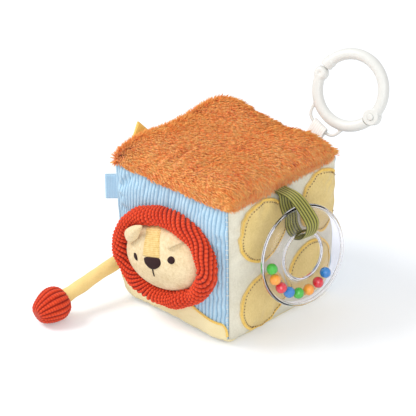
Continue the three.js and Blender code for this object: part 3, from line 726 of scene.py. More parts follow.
HALF = 52.5 * MM
MIDDLE = HALF * Z
FILLET = 6 * MM
EDGE_ROUND = 3.2 * MM
FOOT_ROUND = 9 * MM
SPREAD_FOOT = 0.008
SPREAD_TOP = 0.034
TOP_LEAN = np.array([-0.9, -0.7, 0.0]) * MM
RIM_RISE = 3.5 * MM
FRONT_CROWN = 3 * MM
SIDE_CROWN = 0.5 * MM
TOP_DOME = 9 * MM
SIDE_POWER = 2.5
TOP_POWER = 6
SEAM_GAP = 0.15 * MM
SEAM_DIP = 0.7 * MM
SEAM_REACH = 1.8 * MM
GATHER_HEIGHT = 0.45 * MM
GATHER_PITCH = 3.2 * MM
GATHER_REACH = 9 * MM
# Each face's way out, its two ways along, and the height and squareness of its swelling
FACES = {
    "top": (Z, X, Y, TOP_DOME, TOP_POWER),
    "bottom": (-Z, Y, X, 0.0, SIDE_POWER),
    "right": (X, Y, Z, SIDE_CROWN, SIDE_POWER),
    "left": (-X, Z, Y, SIDE_CROWN, SIDE_POWER),
    "front": (-Y, X, Z, FRONT_CROWN, SIDE_POWER),
    "back": (Y, Z, X, FRONT_CROWN, SIDE_POWER),
}


def form(face, a, b, lift):
    """Points of the smooth block at shares a and b of a face, and the ways out of the fabric."""
    normal, first, second, crown, power = FACES[face]
    a, b = np.broadcast_arrays(np.asarray(a, float), np.asarray(b, float))
    towards = normal + a[..., None] * first + b[..., None] * second
    sunk = ease(-towards[..., 2:], 0.6, 1.0) * (1 - 0.6 * ease(towards[..., 1:2], -0.3, 1.0))
    corner = EDGE_ROUND + (FOOT_ROUND - EDGE_ROUND) * sunk
    flat = towards * HALF
    inner = np.clip(flat, corner - HALF, HALF - corner)
    out = unit(flat - inner)
    swell = crown * (1 - np.abs(a) ** power) * (1 - np.abs(b) ** power)
    points = inner + out * (corner + np.asarray(lift)[..., None])
    points = points + normal * swell[..., None] + MIDDLE
    height = np.clip(points[..., 2:] / (2 * HALF), 0, 1)
    rim = ease(towards[..., :1], 0.0, 1.0) * ease(towards[..., 1:2], -0.8, 1.0)
    points = points + Z * RIM_RISE * height ** 3 * rim
    spread = 1 + SPREAD_FOOT + (SPREAD_TOP - SPREAD_FOOT) * height
    return points * (spread * (X + Y) + Z) + TOP_LEAN * height ** 2, out


def sample(field, a, b):
    """A grid of values from -1 to 1 each way, read between its points by a smooth curve."""
    size = field.shape[0] - 1
    x, y = (np.clip(a, -1, 1) + 1) / 2 * size, (np.clip(b, -1, 1) + 1) / 2 * size
    i, k = np.minimum(x.astype(int), size - 1), np.minimum(y.astype(int), size - 1)

    def weights(f):
        return [
            -0.5 * f + f ** 2 - 0.5 * f ** 3,
            1 - 2.5 * f ** 2 + 1.5 * f ** 3,
            0.5 * f + 2 * f ** 2 - 1.5 * f ** 3,
            -0.5 * f ** 2 + 0.5 * f ** 3,
        ]

    total = 0
    for m, up in enumerate(weights(y - k)):
        for n, across in enumerate(weights(x - i)):
            row, column = np.clip(k + m - 1, 0, size), np.clip(i + n - 1, 0, size)
            total = total + across * up * field[row, column]
    return total


def skin(face, a, b, lift):
    """Points of the sewn block: its smooth form, with its puckers and its sunken seams."""
    a, b = np.broadcast_arrays(np.asarray(a, float), np.asarray(b, float))
    from_first, from_second = (1 - np.abs(a)) * HALF, (1 - np.abs(b)) * HALF
    from_seam = np.minimum(from_first, from_second)
    dip = -SEAM_DIP * np.exp(-(from_seam / SEAM_REACH) ** 2)
    pucker = sample(PUCKERS[face], a, b) * ease(from_seam, 0.0, 3 * MM)
    waves = (
        np.exp(-from_first / GATHER_REACH) * wobble(b * HALF / GATHER_PITCH, 2 * a, SEED + 8)
        + np.exp(-from_second / GATHER_REACH) * wobble(a * HALF / GATHER_PITCH, 2 * b, SEED + 9))
    gather = GATHER_HEIGHT * waves * ease(from_seam, 0.0, 2 * MM)
    return form(face, a, b, lift + dip + pucker + gather)


def smooth_field(field, rounds):
    for _ in range(rounds):
        wide = np.pad(field, 1, mode="edge")
        beside = wide[:-2, 1:-1] + wide[2:, 1:-1] + wide[1:-1, :-2] + wide[1:-1, 2:]
        field = (wide[1:-1, 1:-1] * 2 + beside) / 6
    return field


def welded_faces(lines, precision, points_of):
    """All six faces as one closed net: its points, its quads and each face's grid of numbers."""
    points, quads, grids, numbers = [], [], {}, {}
    for face in FACES:
        places = points_of(face)
        grid = np.zeros((lines, lines), int)
        for index in np.ndindex(grid.shape):
            key = tuple(np.round(places[index] / precision).astype(int))
            if key not in numbers:
                numbers[key] = len(points)
                points.append(places[index])
            grid[index] = numbers[key]
        grids[face] = grid
        for r, c in np.ndindex(lines - 1, lines - 1):
            quads.append((grid[r, c], grid[r, c + 1], grid[r + 1, c + 1], grid[r + 1, c]))
    return np.array(points), quads, grids


PUCKER_LINES = 27
PUCKER_START = 1.0 * MM
PUCKER_SCALE = 10.0
PUCKER_FRAMES = 24
PUCKER_LIMIT = 1.3 * MM
PUCKER_SMOOTHING = 14
PUCKER_CLOTH = {
    "quality": 6,
    "mass": 0.2,
    "use_pressure": True,
    "uniform_pressure_force": 3.0,
    "shrink_min": -0.03,
    "shrink_max": 0.07,
    "vertex_group_shrink": "seams",
    "bending_stiffness": 0.2,
}


def make_puckers():
    """Inflates a plain copy of the block as cloth, its seams drawn tight, and keeps how far each
    face's fabric then stands in or out of a smooth swelling."""
    lines = np.linspace(-1, 1, PUCKER_LINES)
    a, b = np.meshgrid(lines, lines)
    fields = {face: np.zeros(a.shape) for face in FACES}
    rest = {face: form(face, a, b, -PUCKER_START)[0] for face in FACES}
    points, quads, grids = welded_faces(PUCKER_LINES, 0.05 * MM, rest.get)
    blown = make_mesh("cloth_block", points * PUCKER_SCALE, quads)
    border = (np.abs(a) == 1) | (np.abs(b) == 1)
    seams = sorted({int(number) for grid in grids.values() for number in grid[border]})
    blown.vertex_groups.new(name="seams").add(seams, 1.0, "REPLACE")
    settings = modify(blown, "CLOTH").settings
    for key, value in PUCKER_CLOTH.items():
        setattr(settings, key, value)
    settings.effector_weights.gravity = 0.0
    scene = bpy.context.scene
    for number in range(1, PUCKER_FRAMES + 1):
        scene.frame_set(number)
    shown = blown.evaluated_get(bpy.context.evaluated_depsgraph_get())
    moved = np.array([vertex.co for vertex in shown.data.vertices]) / PUCKER_SCALE
    scene.frame_set(1)
    bpy.data.objects.remove(blown)
    for face in FACES:
        if face != "bottom":
            stand = (moved[grids[face]] - rest[face]) @ FACES[face][0]
            rough = stand - smooth_field(stand, PUCKER_SMOOTHING)
            fields[face] = np.clip(rough, -PUCKER_LIMIT, PUCKER_LIMIT)
    return fields


PUCKERS = make_puckers()

PANEL_THICKNESS = 1.6 * MM
PANEL_LINES = 72
PANEL_EDGE = 1 - SEAM_GAP / HALF
WALE_PITCH = 3.05 * MM
WALE_DEPTH = 0.95 * MM
WALE_POWER = 2.6
WALE_NAP = 0.1 * MM
WALE_LINES = 120
WALE_SHARES = [0, 0.07, 0.18, 0.33, 0.5, 0.67, 0.82, 0.93]
WALE_SWAY = 4.5 * MM
WALE_WANDER = 0.25 * MM


def wales():
    """Places across a panel of corduroy ribs, and how high the fabric stands at each."""
    reach = PANEL_EDGE * HALF
    count = int(2 * reach / WALE_PITCH)
    start = -count * WALE_PITCH / 2
    places, heights = [-reach], [0.0]
    for i in range(count):
        for share in WALE_SHARES:
            places.append(start + (i + share) * WALE_PITCH)
            heights.append(WALE_DEPTH * (1 - abs(2 * share - 1) ** WALE_POWER))
    places += [start + count * WALE_PITCH, reach]
    heights += [0.0, 0.0]
    order = np.unique(np.round(places, 8), return_index=True)[1]
    return np.array(places)[order] / HALF, np.array(heights)[order]


def panel(name, face, skin_name, node, ribs=None):
    """One sewn panel of the block. Ribs stand side by side along its first or its second way, or
    there are none."""
    lines = np.linspace(-PANEL_EDGE, PANEL_EDGE, WALE_LINES if ribs else PANEL_LINES)
    plain = lines, np.zeros(len(lines))
    across, across_height = wales() if ribs == "first" else plain
    up, up_height = wales() if ribs == "second" else plain
    a, b = np.meshgrid(across, up)
    height = across_height[None, :] + up_height[:, None]
    if face == "front":
        bulge = (1 - a ** 2) ** 1.5 * ease(-b, -0.9, 0.3) * np.exp(-((a + 0.35) / 0.45) ** 2)
        wander = wobble(a * 9, b * 7, SEED) * (1 - a ** 2)
        a = a - WALE_SWAY / HALF * bulge + WALE_WANDER / HALF * wander
    lift = height
    if ribs:
        nap = np.random.default_rng(SEED + 10).normal(size=height.shape)
        lift = height - WALE_DEPTH / 2 + WALE_NAP * smooth_field(nap, 1)
    outer, _ = skin(face, a, b, lift)
    inner, _ = skin(face, a, b, -PANEL_THICKNESS)
    piece = sheet_mesh(name, outer, inner, np.stack([a, b], axis=-1) * HALF)
    if ribs:
        # How deep each point lies between the ribs, read as painted shade in the valleys.
        mark(piece.data, "valley", np.tile(1 - height.ravel() / WALE_DEPTH, 2))
    dress(piece, skin_name, "block", node)


panel("front_corduroy", "front", "blue_corduroy", "front_corduroy_panel", ribs="first")
panel("back_corduroy", "back", "blue_corduroy", "back_panel", ribs="second")
panel("right_weave", "right", "cream_weave", "right_woven_panel")
panel("left_weave", "left", "yellow_weave", "left_panel")
panel("bottom_velour", "bottom", "body_velour", "bottom_panel")


# Fur top

FUR_LINES = 72
FUR_BASE = 7.5 * MM
FUR_BASE_POWER = 18
FUR_HILLS = 0.7 * MM
FUR_LEFT_RISE = 3.0 * MM
FUR_BACK_RISE = 1.2 * MM
FUR_SINK = 4.6 * MM
FUR_CORNER = 1.8 * MM
FUR_LAYERS = 4
FUR_EDGE = 0.928
FUR_TRIM_EDGE = 0.91
FUR_NAP = (0.95, -0.12, 0.0)
FUR_LEFT_NAP = (-0.8, -0.35, 0.0)
# Locks to a square metre, how far they turn, and their shortest and longest size
FUR_LONG = (0.9e6, 0.12, 0.7, 1.15)
FUR_TRIM = (6e6, 0.9, 0.35, 0.6)


def fur_top():
    """The top panel's backing, long pile over it, and short pile over its right and left edges."""
    even = np.linspace(-1, 1, FUR_LINES)
    lines = np.sign(even) * (1 - (1 - np.abs(even)) ** 1.5)
    a, b = np.meshgrid(lines * PANEL_EDGE, lines * PANEL_EDGE)
    full = (1 - np.abs(a) ** FUR_BASE_POWER) * (1 - np.abs(b) ** FUR_BASE_POWER)
    outer, _ = skin("top", a, b, FUR_HILLS * wobble(a * 4, b * 4, SEED + 1) * full)
    inner, _ = skin("top", a, b, -PANEL_THICKNESS)
    along = a - b
    sink = ease(along, -1.8, -0.6) - 0.6 * ease(along, 0.2, 1.8)
    rise = FUR_BASE + FUR_LEFT_RISE * ease(-a, -0.3, 0.9) + FUR_BACK_RISE * ease(b, 0.0, 1.0)
    rise = (rise - FUR_SINK * sink) * full
    drawn_in = FUR_CORNER * (a * b) ** 10
    outer = outer + rise[..., None] * Z
    outer = outer - drawn_in[..., None] * (a[..., None] * X + b[..., None] * Y)
    base = sheet_mesh("fur_backing", outer, inner, np.stack([a, b], axis=-1) * HALF)
    dress(base, "fur", "block", "top_fur_panel")
    layers = [
        (f"fur_pile_{number + 1}", lines < FUR_EDGE, FUR_NAP, FUR_LONG)
        for number in range(FUR_LAYERS)
    ]
    layers.append(("fur_trim_1", lines > FUR_TRIM_EDGE, FUR_NAP, FUR_TRIM))
    layers.append(("fur_trim_2", lines < -FUR_TRIM_EDGE, FUR_LEFT_NAP, FUR_TRIM))
    for seed, (name, chosen, nap, (density, turn, shortest, longest)) in enumerate(layers, SEED):
        bed = outer[:, chosen]
        pile = grow(make_mesh("fur_bed", bed, grid_faces(*bed.shape[:2])), PILE, {
            "Lock": LOCK,
            "Density": density,
            "Nap": nap,
            "Turn": turn,
            "Shortest": shortest,
            "Longest": longest,
            "Seed": seed,
            "Material": SKINS["fur"],
        }, name)
        dress(pile, "fur", "block")


fur_top()


# Sewn patches

PATCH_GAP = 0.3 * MM
PATCH_TOP = 1.2 * MM
PATCH_RINGS = np.array([0.12, 0.25, 0.38, 0.5, 0.62, 0.73, 0.82, 0.89, 0.94, 0.975, 1.0])
BORDER_WIDTH = 2.0 * MM
BORDER_PITCH = 0.5 * MM
BORDER_THREAD = 0.62 * MM


def on_face(face, places, lift):
    """Points and ways out on a face for places in metres from the middle of its foot."""
    return skin(face, places[..., 0] / HALF, places[..., 1] / HALF - 1, lift)


def patch_sheet(name, face, outline, middle, puff, skin_name, node):
    """A patch inside an outline on a face, a little puffed between its sewn edges."""
    share = PATCH_RINGS[:, None]
    rings = middle + share[..., None] * (outline - middle)
    sewn = 0.35 * MM * np.exp(-((share - 0.93) / 0.03) ** 2) + 0.5 * MM * ease(share, 0.97, 1.0)
    upper, _ = on_face(face, rings, PATCH_TOP + puff * (1 - share ** 3) - sewn)
    lower, _ = on_face(face, rings, PATCH_GAP / 2)
    piece = ring_mesh(name, [*upper, *lower[::-1]], np.array([*rings, *rings[::-1]]))
    return dress(piece, skin_name, "block", node)


def runs_between(keep):
    """The stretches of a closed row of points where keep holds, as lists of numbers."""
    count = len(keep)
    if keep.all():
        return [[*range(count), 0]]
    runs = [[]]
    for number in np.roll(np.arange(count), -int(np.argmin(keep))):
        if keep[number]:
            runs[-1].append(number)
        else:
            runs.append([])
    return [run for run in runs if len(run) > 3]


def seam_stitches():
    """Small pale stitches down the front's right edge."""
    heights = np.linspace(-0.74, 0.9, 70)
    line = skin("front", np.full(len(heights), 0.968), heights, WALE_DEPTH * 0.6)
    size = (0.6 * MM, 1.9 * MM, 0.3 * MM)
    stitches("seam_stitches", line, 3.4 * MM, size, "cream_thread", unevenness=0.3)


DOT_RADIUS = 22.1 * MM
DOT_PLACES = np.array([[-21.8, 79.2], [35.0, 78.6], [-21.4, 25.8], [24.6, 31.2]]) * MM
DOT_POINTS = 120
DOT_PUFF = 0.5 * MM
DOT_MARGIN = 1.8 * MM
HOLE_PITCH = 2.3 * MM
HOLE_SIZE = (1.0 * MM, 1.0 * MM, 0.25 * MM)


def dots():
    """Round patches, cut off at the seams, each with a satin border and a row of needle holes drawn
    as small dark marks of painted shade.
    """
    ring = circle(DOT_POINTS)
    low = np.array([DOT_MARGIN - HALF, DOT_MARGIN])
    high = np.array([HALF - DOT_MARGIN, 2 * HALF - DOT_MARGIN])
    sewn_low, sewn_high = low + np.array([0.8, 1.2]) * MM, high - np.array([0.8, 1.2]) * MM
    satin = (BORDER_THREAD, BORDER_WIDTH, 0.4 * MM)
    inner = DOT_RADIUS - BORDER_WIDTH
    rows = (
        ("border", inner + BORDER_WIDTH / 2, 0.0, BORDER_PITCH, satin, "yellow_thread", 0.2),
        ("holes", inner - 0.4 * MM, 0.4 * MM, HOLE_PITCH, HOLE_SIZE, "needle_hole_shade", 0.0),
    )
    for number, middle in enumerate(DOT_PLACES, 1):
        name = f"dot_{number}"
        outline = np.clip(middle + DOT_RADIUS * ring, low, high)
        piece = patch_sheet(name, "right", outline, outline.mean(axis=0), DOT_PUFF,
                            "yellow_weave", f"dot_patch_{number}")
        for label, radius, rise, pitch, size, skin_name, slant in rows:
            path = middle + radius * ring
            keep = ((path > sewn_low) & (path < sewn_high)).all(axis=1)
            for count, run in enumerate(runs_between(keep), 1):
                line = on_face("right", path[run], PATCH_TOP + rise)
                stitches(f"{name}_{label}_{count}", line, pitch, size, skin_name, slant)


BODY_MARGIN = 1.7 * MM
BODY_LEFT = np.array([-50.8, 27]) * MM
BODY_BACK = np.array([-26.25, 40]) * MM
BODY_CREST = np.array([-4, 40]) * MM
BODY_LOIN = np.array([23.75, 18.8]) * MM
BODY_SHOULDER = np.array([47.5, 18.8]) * MM
BODY_CHEST = np.array([50.2, 16.8]) * MM
BODY_RIGHT = np.array([50.8, 9]) * MM


def bend_through(start, pull, end, count):
    t = np.linspace(0, 1, count)[:, None]
    return (1 - t) ** 2 * start + 2 * t * (1 - t) * pull + t ** 2 * end


def lion_body():
    """The lion's body: a low hill over the foot of the front face, with a satin-stitched back."""
    side = HALF - BODY_MARGIN
    back = np.vstack([
        bend_through(BODY_RIGHT, BODY_CHEST, BODY_SHOULDER, 14),
        bend_through(BODY_SHOULDER, BODY_LOIN, BODY_CREST, 40)[1:],
        bend_through(BODY_CREST, BODY_BACK, BODY_LEFT, 30)[1:],
    ])
    foot = np.stack([np.linspace(-side, side, 40), np.full(40, BODY_MARGIN)], axis=1)
    outline = evenly(np.vstack([foot, back, foot[:1]]), 201)[:-1]
    piece = patch_sheet("lion_body", "front", outline, np.array([0, 9]) * MM, 0.5 * MM,
                        "body_velour", "lion_body_patch")
    line = on_face("front", evenly(back, 160) - np.array([0, BORDER_WIDTH * 0.3]), PATCH_TOP)
    size = (BORDER_THREAD, BORDER_WIDTH, 0.5 * MM)
    stitches("lion_body_border", line, BORDER_PITCH, size, "yellow_thread")


seam_stitches()
dots()
lion_body()


# Lion

ROLL = math.radians(15.5)
FACE_ACROSS = np.array([math.cos(ROLL), 0, math.sin(ROLL)])
FACE_UP = np.array([-math.sin(ROLL), 0, math.cos(ROLL)])
MANE_MIDDLE = np.array([1.5, -62.5, 54.9]) * MM
MANE_HALF = np.array([41.3, 29.8]) * MM
MANE_RADIAL = 5.2 * MM
MANE_DEPTH = 6.6 * MM
MANE_STEPS = 760
MANE_SIDES = 108
MANE_PITCH = 3.1 * MM
MANE_RIB_HEIGHT = 1.4 * MM
MANE_PEBBLE_PITCH = 2.3 * MM
MANE_PEBBLE_HEIGHT = 1.1 * MM
MANE_SWELL = 0.6 * MM
# How far the gathered ribs slant, in degrees, at angles round the mane
MANE_SLANTS = np.radians([
    (0, -72), (30, -68), (55, -55), (75, -38), (88, -15), (100, 0), (130, 3), (155, 15),
    (172, 42), (190, 62), (210, 62), (228, 45), (245, 25), (262, 8), (285, 0), (310, -3),
    (325, -20), (338, -48), (350, -66), (360, -72),
])


def valleys(ridge, pebble):
    """How deep between the ribs and pebbles of gathered corduroy a point lies, from 0 to 1."""
    return np.clip(1.2 - ridge * (0.75 + 0.5 * pebble), 0, 1)


def mane():
    """A gathered, stuffed ring whose ribs slant and whose pebbles run along them."""
    turn = full_turn(MANE_STEPS)
    section = np.linspace(-math.pi, math.pi, MANE_SIDES, endpoint=False)
    phi, theta = np.meshgrid(turn, section, indexing="ij")
    slant = np.interp(turn, *MANE_SLANTS.T)
    step = np.hypot(MANE_HALF[0] * np.sin(turn), MANE_HALF[1] * np.cos(turn)) * turn[1]
    ribs = np.cumsum(np.cos(slant) * step) / MANE_PITCH
    ribs = ribs * round(ribs[-1]) / ribs[-1]
    pebbles = np.cumsum(-np.sin(slant) * step) / MANE_PEBBLE_PITCH
    cos, sin = np.cos(phi)[..., None], np.sin(phi)[..., None]
    spine = MANE_MIDDLE + FACE_ACROSS * MANE_HALF[0] * cos + FACE_UP * MANE_HALF[1] * sin
    out = unit(FACE_ACROSS * MANE_HALF[1] * cos + FACE_UP * MANE_HALF[0] * sin)
    around = theta * (MANE_RADIAL + MANE_DEPTH) / 2
    gather = 0.35 * wobble(6 * np.cos(phi), 6 * np.sin(phi) + theta, SEED + 2)
    phase = ribs[:, None] + np.sin(slant)[:, None] * around / MANE_PITCH + gather
    ridge = np.abs(np.sin(math.pi * phase)) ** 0.6
    along = pebbles[:, None] + np.cos(slant)[:, None] * around / MANE_PEBBLE_PITCH
    pebble = np.abs(np.sin(math.pi * (along + 0.37 * np.floor(phase)))) ** 0.7
    swell = MANE_SWELL * wobble(9 * np.cos(phi) + theta, 9 * np.sin(phi), SEED + 3)
    height = MANE_RIB_HEIGHT * (ridge - 0.65) + MANE_PEBBLE_HEIGHT * ridge * pebble + swell
    height = height * ease(np.cos(theta), -0.95, -0.5)
    sideways = ((MANE_RADIAL + height) * np.sin(theta))[..., None] * out
    forwards = ((MANE_DEPTH + height) * np.cos(theta))[..., None] * -Y
    piece = ring_mesh("mane", spine + sideways + forwards, joined=True)
    # How deep each point lies between the ribs and pebbles, read as painted shade in the valleys.
    mark(piece.data, "valley", valleys(ridge, pebble))
    dress(piece, "red_corduroy", "block", "mane_ring")


HEAD_MIDDLE = np.array([1.5, -60.5, 54.9]) * MM
HEAD_HALF = np.array([35.9, 24.1]) * MM
HEAD_FRONT = 13.6 * MM
HEAD_BACK = 5.2 * MM
HEAD_RINGS = 60
HEAD_SIDES = 96
HEAD_FOLD = 0.35 * MM
HEAD_FOLD_SPREAD = 7 * MM
MUZZLE_PLACE = np.array([2.2, -2.5]) * MM
MUZZLE_SPREAD = np.array([11.0, 7.5]) * MM
MUZZLE_RISE = 2.4 * MM


def head_front(places):
    """How far the face stands in front of the head's middle at places across and up it."""
    reach = np.sqrt(np.sum((places / HEAD_HALF) ** 2, axis=-1))
    dome = HEAD_FRONT * np.clip(1 - reach ** 2.3, 0, 1) ** 0.5
    near = np.sum(((places - MUZZLE_PLACE) / MUZZLE_SPREAD) ** 2, axis=-1)
    across, up = np.moveaxis(places / HEAD_FOLD_SPREAD, -1, 0)
    fold = HEAD_FOLD * wobble(across, up, SEED + 4) * (1 - np.clip(reach, 0, 1) ** 4)
    return dome + MUZZLE_RISE * np.exp(-near) + fold


def head_point(places, front):
    """Points at places across and up the head, and this far in front of its middle."""
    flat = HEAD_MIDDLE + places[..., :1] * FACE_ACROSS + places[..., 1:] * FACE_UP
    return flat - np.asarray(front)[..., None] * Y


def head():
    rings = []
    for slope in np.linspace(0.02, math.pi - 0.02, HEAD_RINGS):
        places = HEAD_HALF * math.sin(slope) * circle(HEAD_SIDES)
        if slope < math.pi / 2:
            rings.append(head_point(places, head_front(places)))
        else:
            rings.append(head_point(places, HEAD_BACK * math.cos(slope)))
    piece = ring_mesh("head", rings)
    dress(piece, "velour", "block", "lion_head")


def applique(name, outline, height, skin_name, node, rings=7, edge=0.25):
    """A raised shape sewn on the face inside an outline, rounded at its edge."""
    middle = outline.mean(axis=0)
    shares = np.linspace(0, 1, rings + 1)[1:] ** 0.8
    lifts = height * (1 - 0.85 * np.maximum(0.0, (shares - 1 + edge) / edge) ** 2)
    maps = np.array([middle + share * (outline - middle) for share in [*shares, *shares[::-1]]])
    lift = np.array([*lifts, *[-0.4 * MM] * rings])[:, None]
    piece = ring_mesh(name, head_point(maps, head_front(maps) + lift), maps)
    dress(piece, skin_name, "block", node)


def rounded(points, count):
    """A closed smooth outline through a few points in millimetres."""
    return smooth_path(np.array(points, float) * MM, count + 1, closed=True)[:-1]


# Outlines on the face, in millimetres across and up it
NOSE = [
    (-5.9, 3.0), (-2.3, 4.4), (2.4, 4.9), (7.1, 5.0), (9.9, 3.7), (10.5, 1.0),
    (9.0, -1.2), (6.4, -2.7), (3.2, -3.4), (0.1, -3.0), (-2.8, -1.5), (-5.4, 0.4),
]
EYE_LEFT = [(-17.6, 4.9), (-15.4, 4.6), (-14.4, 2.3), (-14.9, 0.0), (-16.5, 0.1), (-18.1, 2.3)]
EYE_RIGHT = [
    (16.0, 3.5), (17.4, 5.4), (19.2, 6.0), (21.0, 5.2), (21.7, 3.4), (20.6, 1.3), (18.8, 0.6),
    (17.0, 1.4),
]
STRIPE = [
    (-7.2, 4.4), (9.7, 4.4), (9.6, 14.0), (8.4, 20.5), (5.8, 23.4), (-6.6, 23.0), (-4.6, 18.0),
    (-5.6, 12.4), (-7.2, 4.4),
]
MOUTH = [(2.9, -2.8), (2.1, -5.4), (1.3, -7.2), (0.5, -9.4)]
EAR_LEFT = [
    (-3.0, 25.6), (-9.0, 25.6), (-16.3, 23.6), (-22.2, 20.3), (-24.0, 17.0), (-23.6, 13.2),
    (-21.4, 10.8), (-18.4, 12.1), (-14.2, 14.2), (-11.1, 16.2), (-7.4, 20.2),
]
EAR_RIGHT = [
    (11.0, 23.4), (17.5, 25.4), (25.0, 24.5), (30.7, 21.3), (31.8, 17.8), (28.3, 15.2),
    (22.1, 12.9), (17.0, 11.3), (12.6, 13.4), (10.2, 18.0),
]


def mouth():
    """A thick stitched line from the nose down, thinner towards its end."""
    path = smooth_path(np.array(MOUTH) * MM, 24)
    way = unit(np.gradient(path, axis=0))
    side = np.stack([-way[:, 1], way[:, 0]], axis=1)
    width = 0.55 * MM * (1 - 0.5 * np.linspace(0, 1, len(path)) ** 3)
    turn = full_turn(10)
    spots = path[:, None] + side[:, None] * width[:, None, None] * np.cos(turn)[:, None]
    lift = 0.15 * MM + 0.45 * MM * np.sin(turn)
    piece = ring_mesh("mouth", head_point(spots, head_front(spots) + lift))
    dress(piece, "dark_thread", "block", "mouth_stitch")


def left_lean(places):
    return 11.4 * MM + 0.1 * (places[:, 1] - 17 * MM)


def right_lean(places):
    free = ease(places[:, 0], 10 * MM, 21 * MM)
    return head_front(places) - 3.0 * MM + free * (5.6 * MM - 0.24 * (places[:, 1] - 13 * MM))


def ear(name, outline, lean, thickness, puff, node):
    """A stuffed ear: a flap inside an outline on the face, puffed in front."""
    outline = rounded(outline, 72)
    middle = outline.mean(axis=0)
    shares = np.sin(np.linspace(0.06, math.pi / 2, 14))
    stack, maps = [], []
    for side in (1, -1):
        for share in shares[::side]:
            places = middle + share * (outline - middle)
            swell = math.sqrt(max(0.0, 1 - share ** 2.4))
            half = thickness / 2 + (puff * swell if side > 0 else 0.0)
            stack.append(head_point(places, lean(places) + side * half * max(swell, 0.15)))
            maps.append(places)
    piece = ring_mesh(name, stack, np.array(maps))
    dress(piece, "velour", "block", node)


mane()
head()
applique("forehead_weave", evenly(np.array(STRIPE) * MM, 97)[:-1], 0.7 * MM, "stripe_weave",
         "forehead_stripe", rings=10, edge=0.12)
applique("nose", rounded(NOSE, 64), 1.0 * MM, "dark_thread", "nose_patch")
applique("eye_left_thread", rounded(EYE_LEFT, 32), 0.8 * MM, "dark_thread", "eye_left")
applique("eye_right_thread", rounded(EYE_RIGHT, 32), 0.8 * MM, "dark_thread", "eye_right")
mouth()
ear("left_ear", EAR_LEFT, left_lean, 3.0 * MM, 2.0 * MM, "lion_ear_left")
ear("right_ear", EAR_RIGHT, right_lean, 2.4 * MM, 1.6 * MM, "lion_ear_right")


# Tail

TAIL_ROOT = np.array([-54.49, -54.49, 26.0]) * MM
TAIL_RADIUS = 5 * MM
TAIL_LENGTH = 46.5 * MM
TAIL_WAY = heading(-95, -13.5)
TAIL_LEVEL = unit(np.cross(TAIL_WAY, Z))
TAIL_HIGH = np.cross(TAIL_LEVEL, TAIL_WAY)
TAIL_SINK = 0.5
TAIL_BEND = 9 * MM
TUFT_ROOT = TAIL_ROOT + (TAIL_LENGTH + 0.3 * MM) * TAIL_WAY
TUFT_RADIUS = 11.5 * MM
TUFT_LENGTH = 24.5 * MM
TUFT_RIBS = 17
TUFT_RIB_HEIGHT = 1.3 * MM
TUFT_PEBBLES = 14
TUFT_PEBBLE_HEIGHT = 0.5 * MM
TUFT_STEPS = 110


def tail_ring(middle, radius):
    return middle + radius[:, None] * circle(len(radius), TAIL_LEVEL, TAIL_HIGH)


def tail():
    """A stuffed tube, uneven along its length, its root rounded off inside the block."""
    turn = full_turn(40)
    rings = []
    for share in np.linspace(-TAIL_SINK, 1.04, 70):
        along = share * TAIL_LENGTH
        base = TAIL_RADIUS * (0.97 + 0.05 * math.cos(9 * share))
        if share < 0:
            along = TAIL_RADIUS * 0.95 * share / TAIL_SINK
            base = math.sqrt(max(0.02, 1 - (along / TAIL_RADIUS) ** 2)) * TAIL_RADIUS
        uneven = wobble(2.2 * np.cos(turn), share * 14 + 2 * np.sin(turn), SEED + 5)
        radius = base + 0.22 * MM * uneven + 0.6 * MM * ease(share, 0.86, 1.0)
        rings.append(tail_ring(TAIL_ROOT + along * TAIL_WAY, radius))
    piece = ring_mesh("tail", rings)
    bend = (TAIL_ROOT, TAIL_ROOT + TAIL_BEND * TAIL_WAY)
    dress(piece, "tail_weave", "tail", "tail_tube", blend=bend)


def tuft():
    """A stuffed ball of gathered corduroy, its ribs running from the tail to its tip."""
    turn = full_turn(TUFT_RIBS * 10)
    rings, shades = [], []
    for slope in np.linspace(-math.pi / 2 + 0.03, math.pi / 2 - 0.03, TUFT_STEPS):
        share = (1 + math.sin(slope)) / 2
        base = TUFT_RADIUS * math.cos(slope) ** 0.48 * (1.05 - 0.24 * ease(share, 0.3, 1.0))
        uneven = 0.35 * math.sin(slope) + 0.12 * wobble(turn, slope * 2, SEED + 6)
        phase = TUFT_RIBS * turn / (2 * math.pi) + uneven
        ridge = np.abs(np.sin(math.pi * phase)) ** 0.6
        pebble = np.abs(np.sin(math.pi * (share * TUFT_PEBBLES + 0.4 * np.floor(phase))))
        relief = TUFT_RIB_HEIGHT * (ridge - 0.7) + TUFT_PEBBLE_HEIGHT * ridge * (pebble - 0.5)
        radius = base + min(1.0, base / (4 * MM)) * relief
        rings.append(tail_ring(TUFT_ROOT + share * TUFT_LENGTH * TAIL_WAY, radius))
        shades.append(valleys(ridge, pebble))
    piece = ring_mesh("tuft", rings)
    # How deep each point lies between the ribs and pebbles, read as painted shade in the valleys.
    mark(piece.data, "valley", [*np.ravel(shades), 0.5, 0.5])
    dress(piece, "red_corduroy", "tuft", "tail_tuft")


tail()
tuft()


# Ribbons

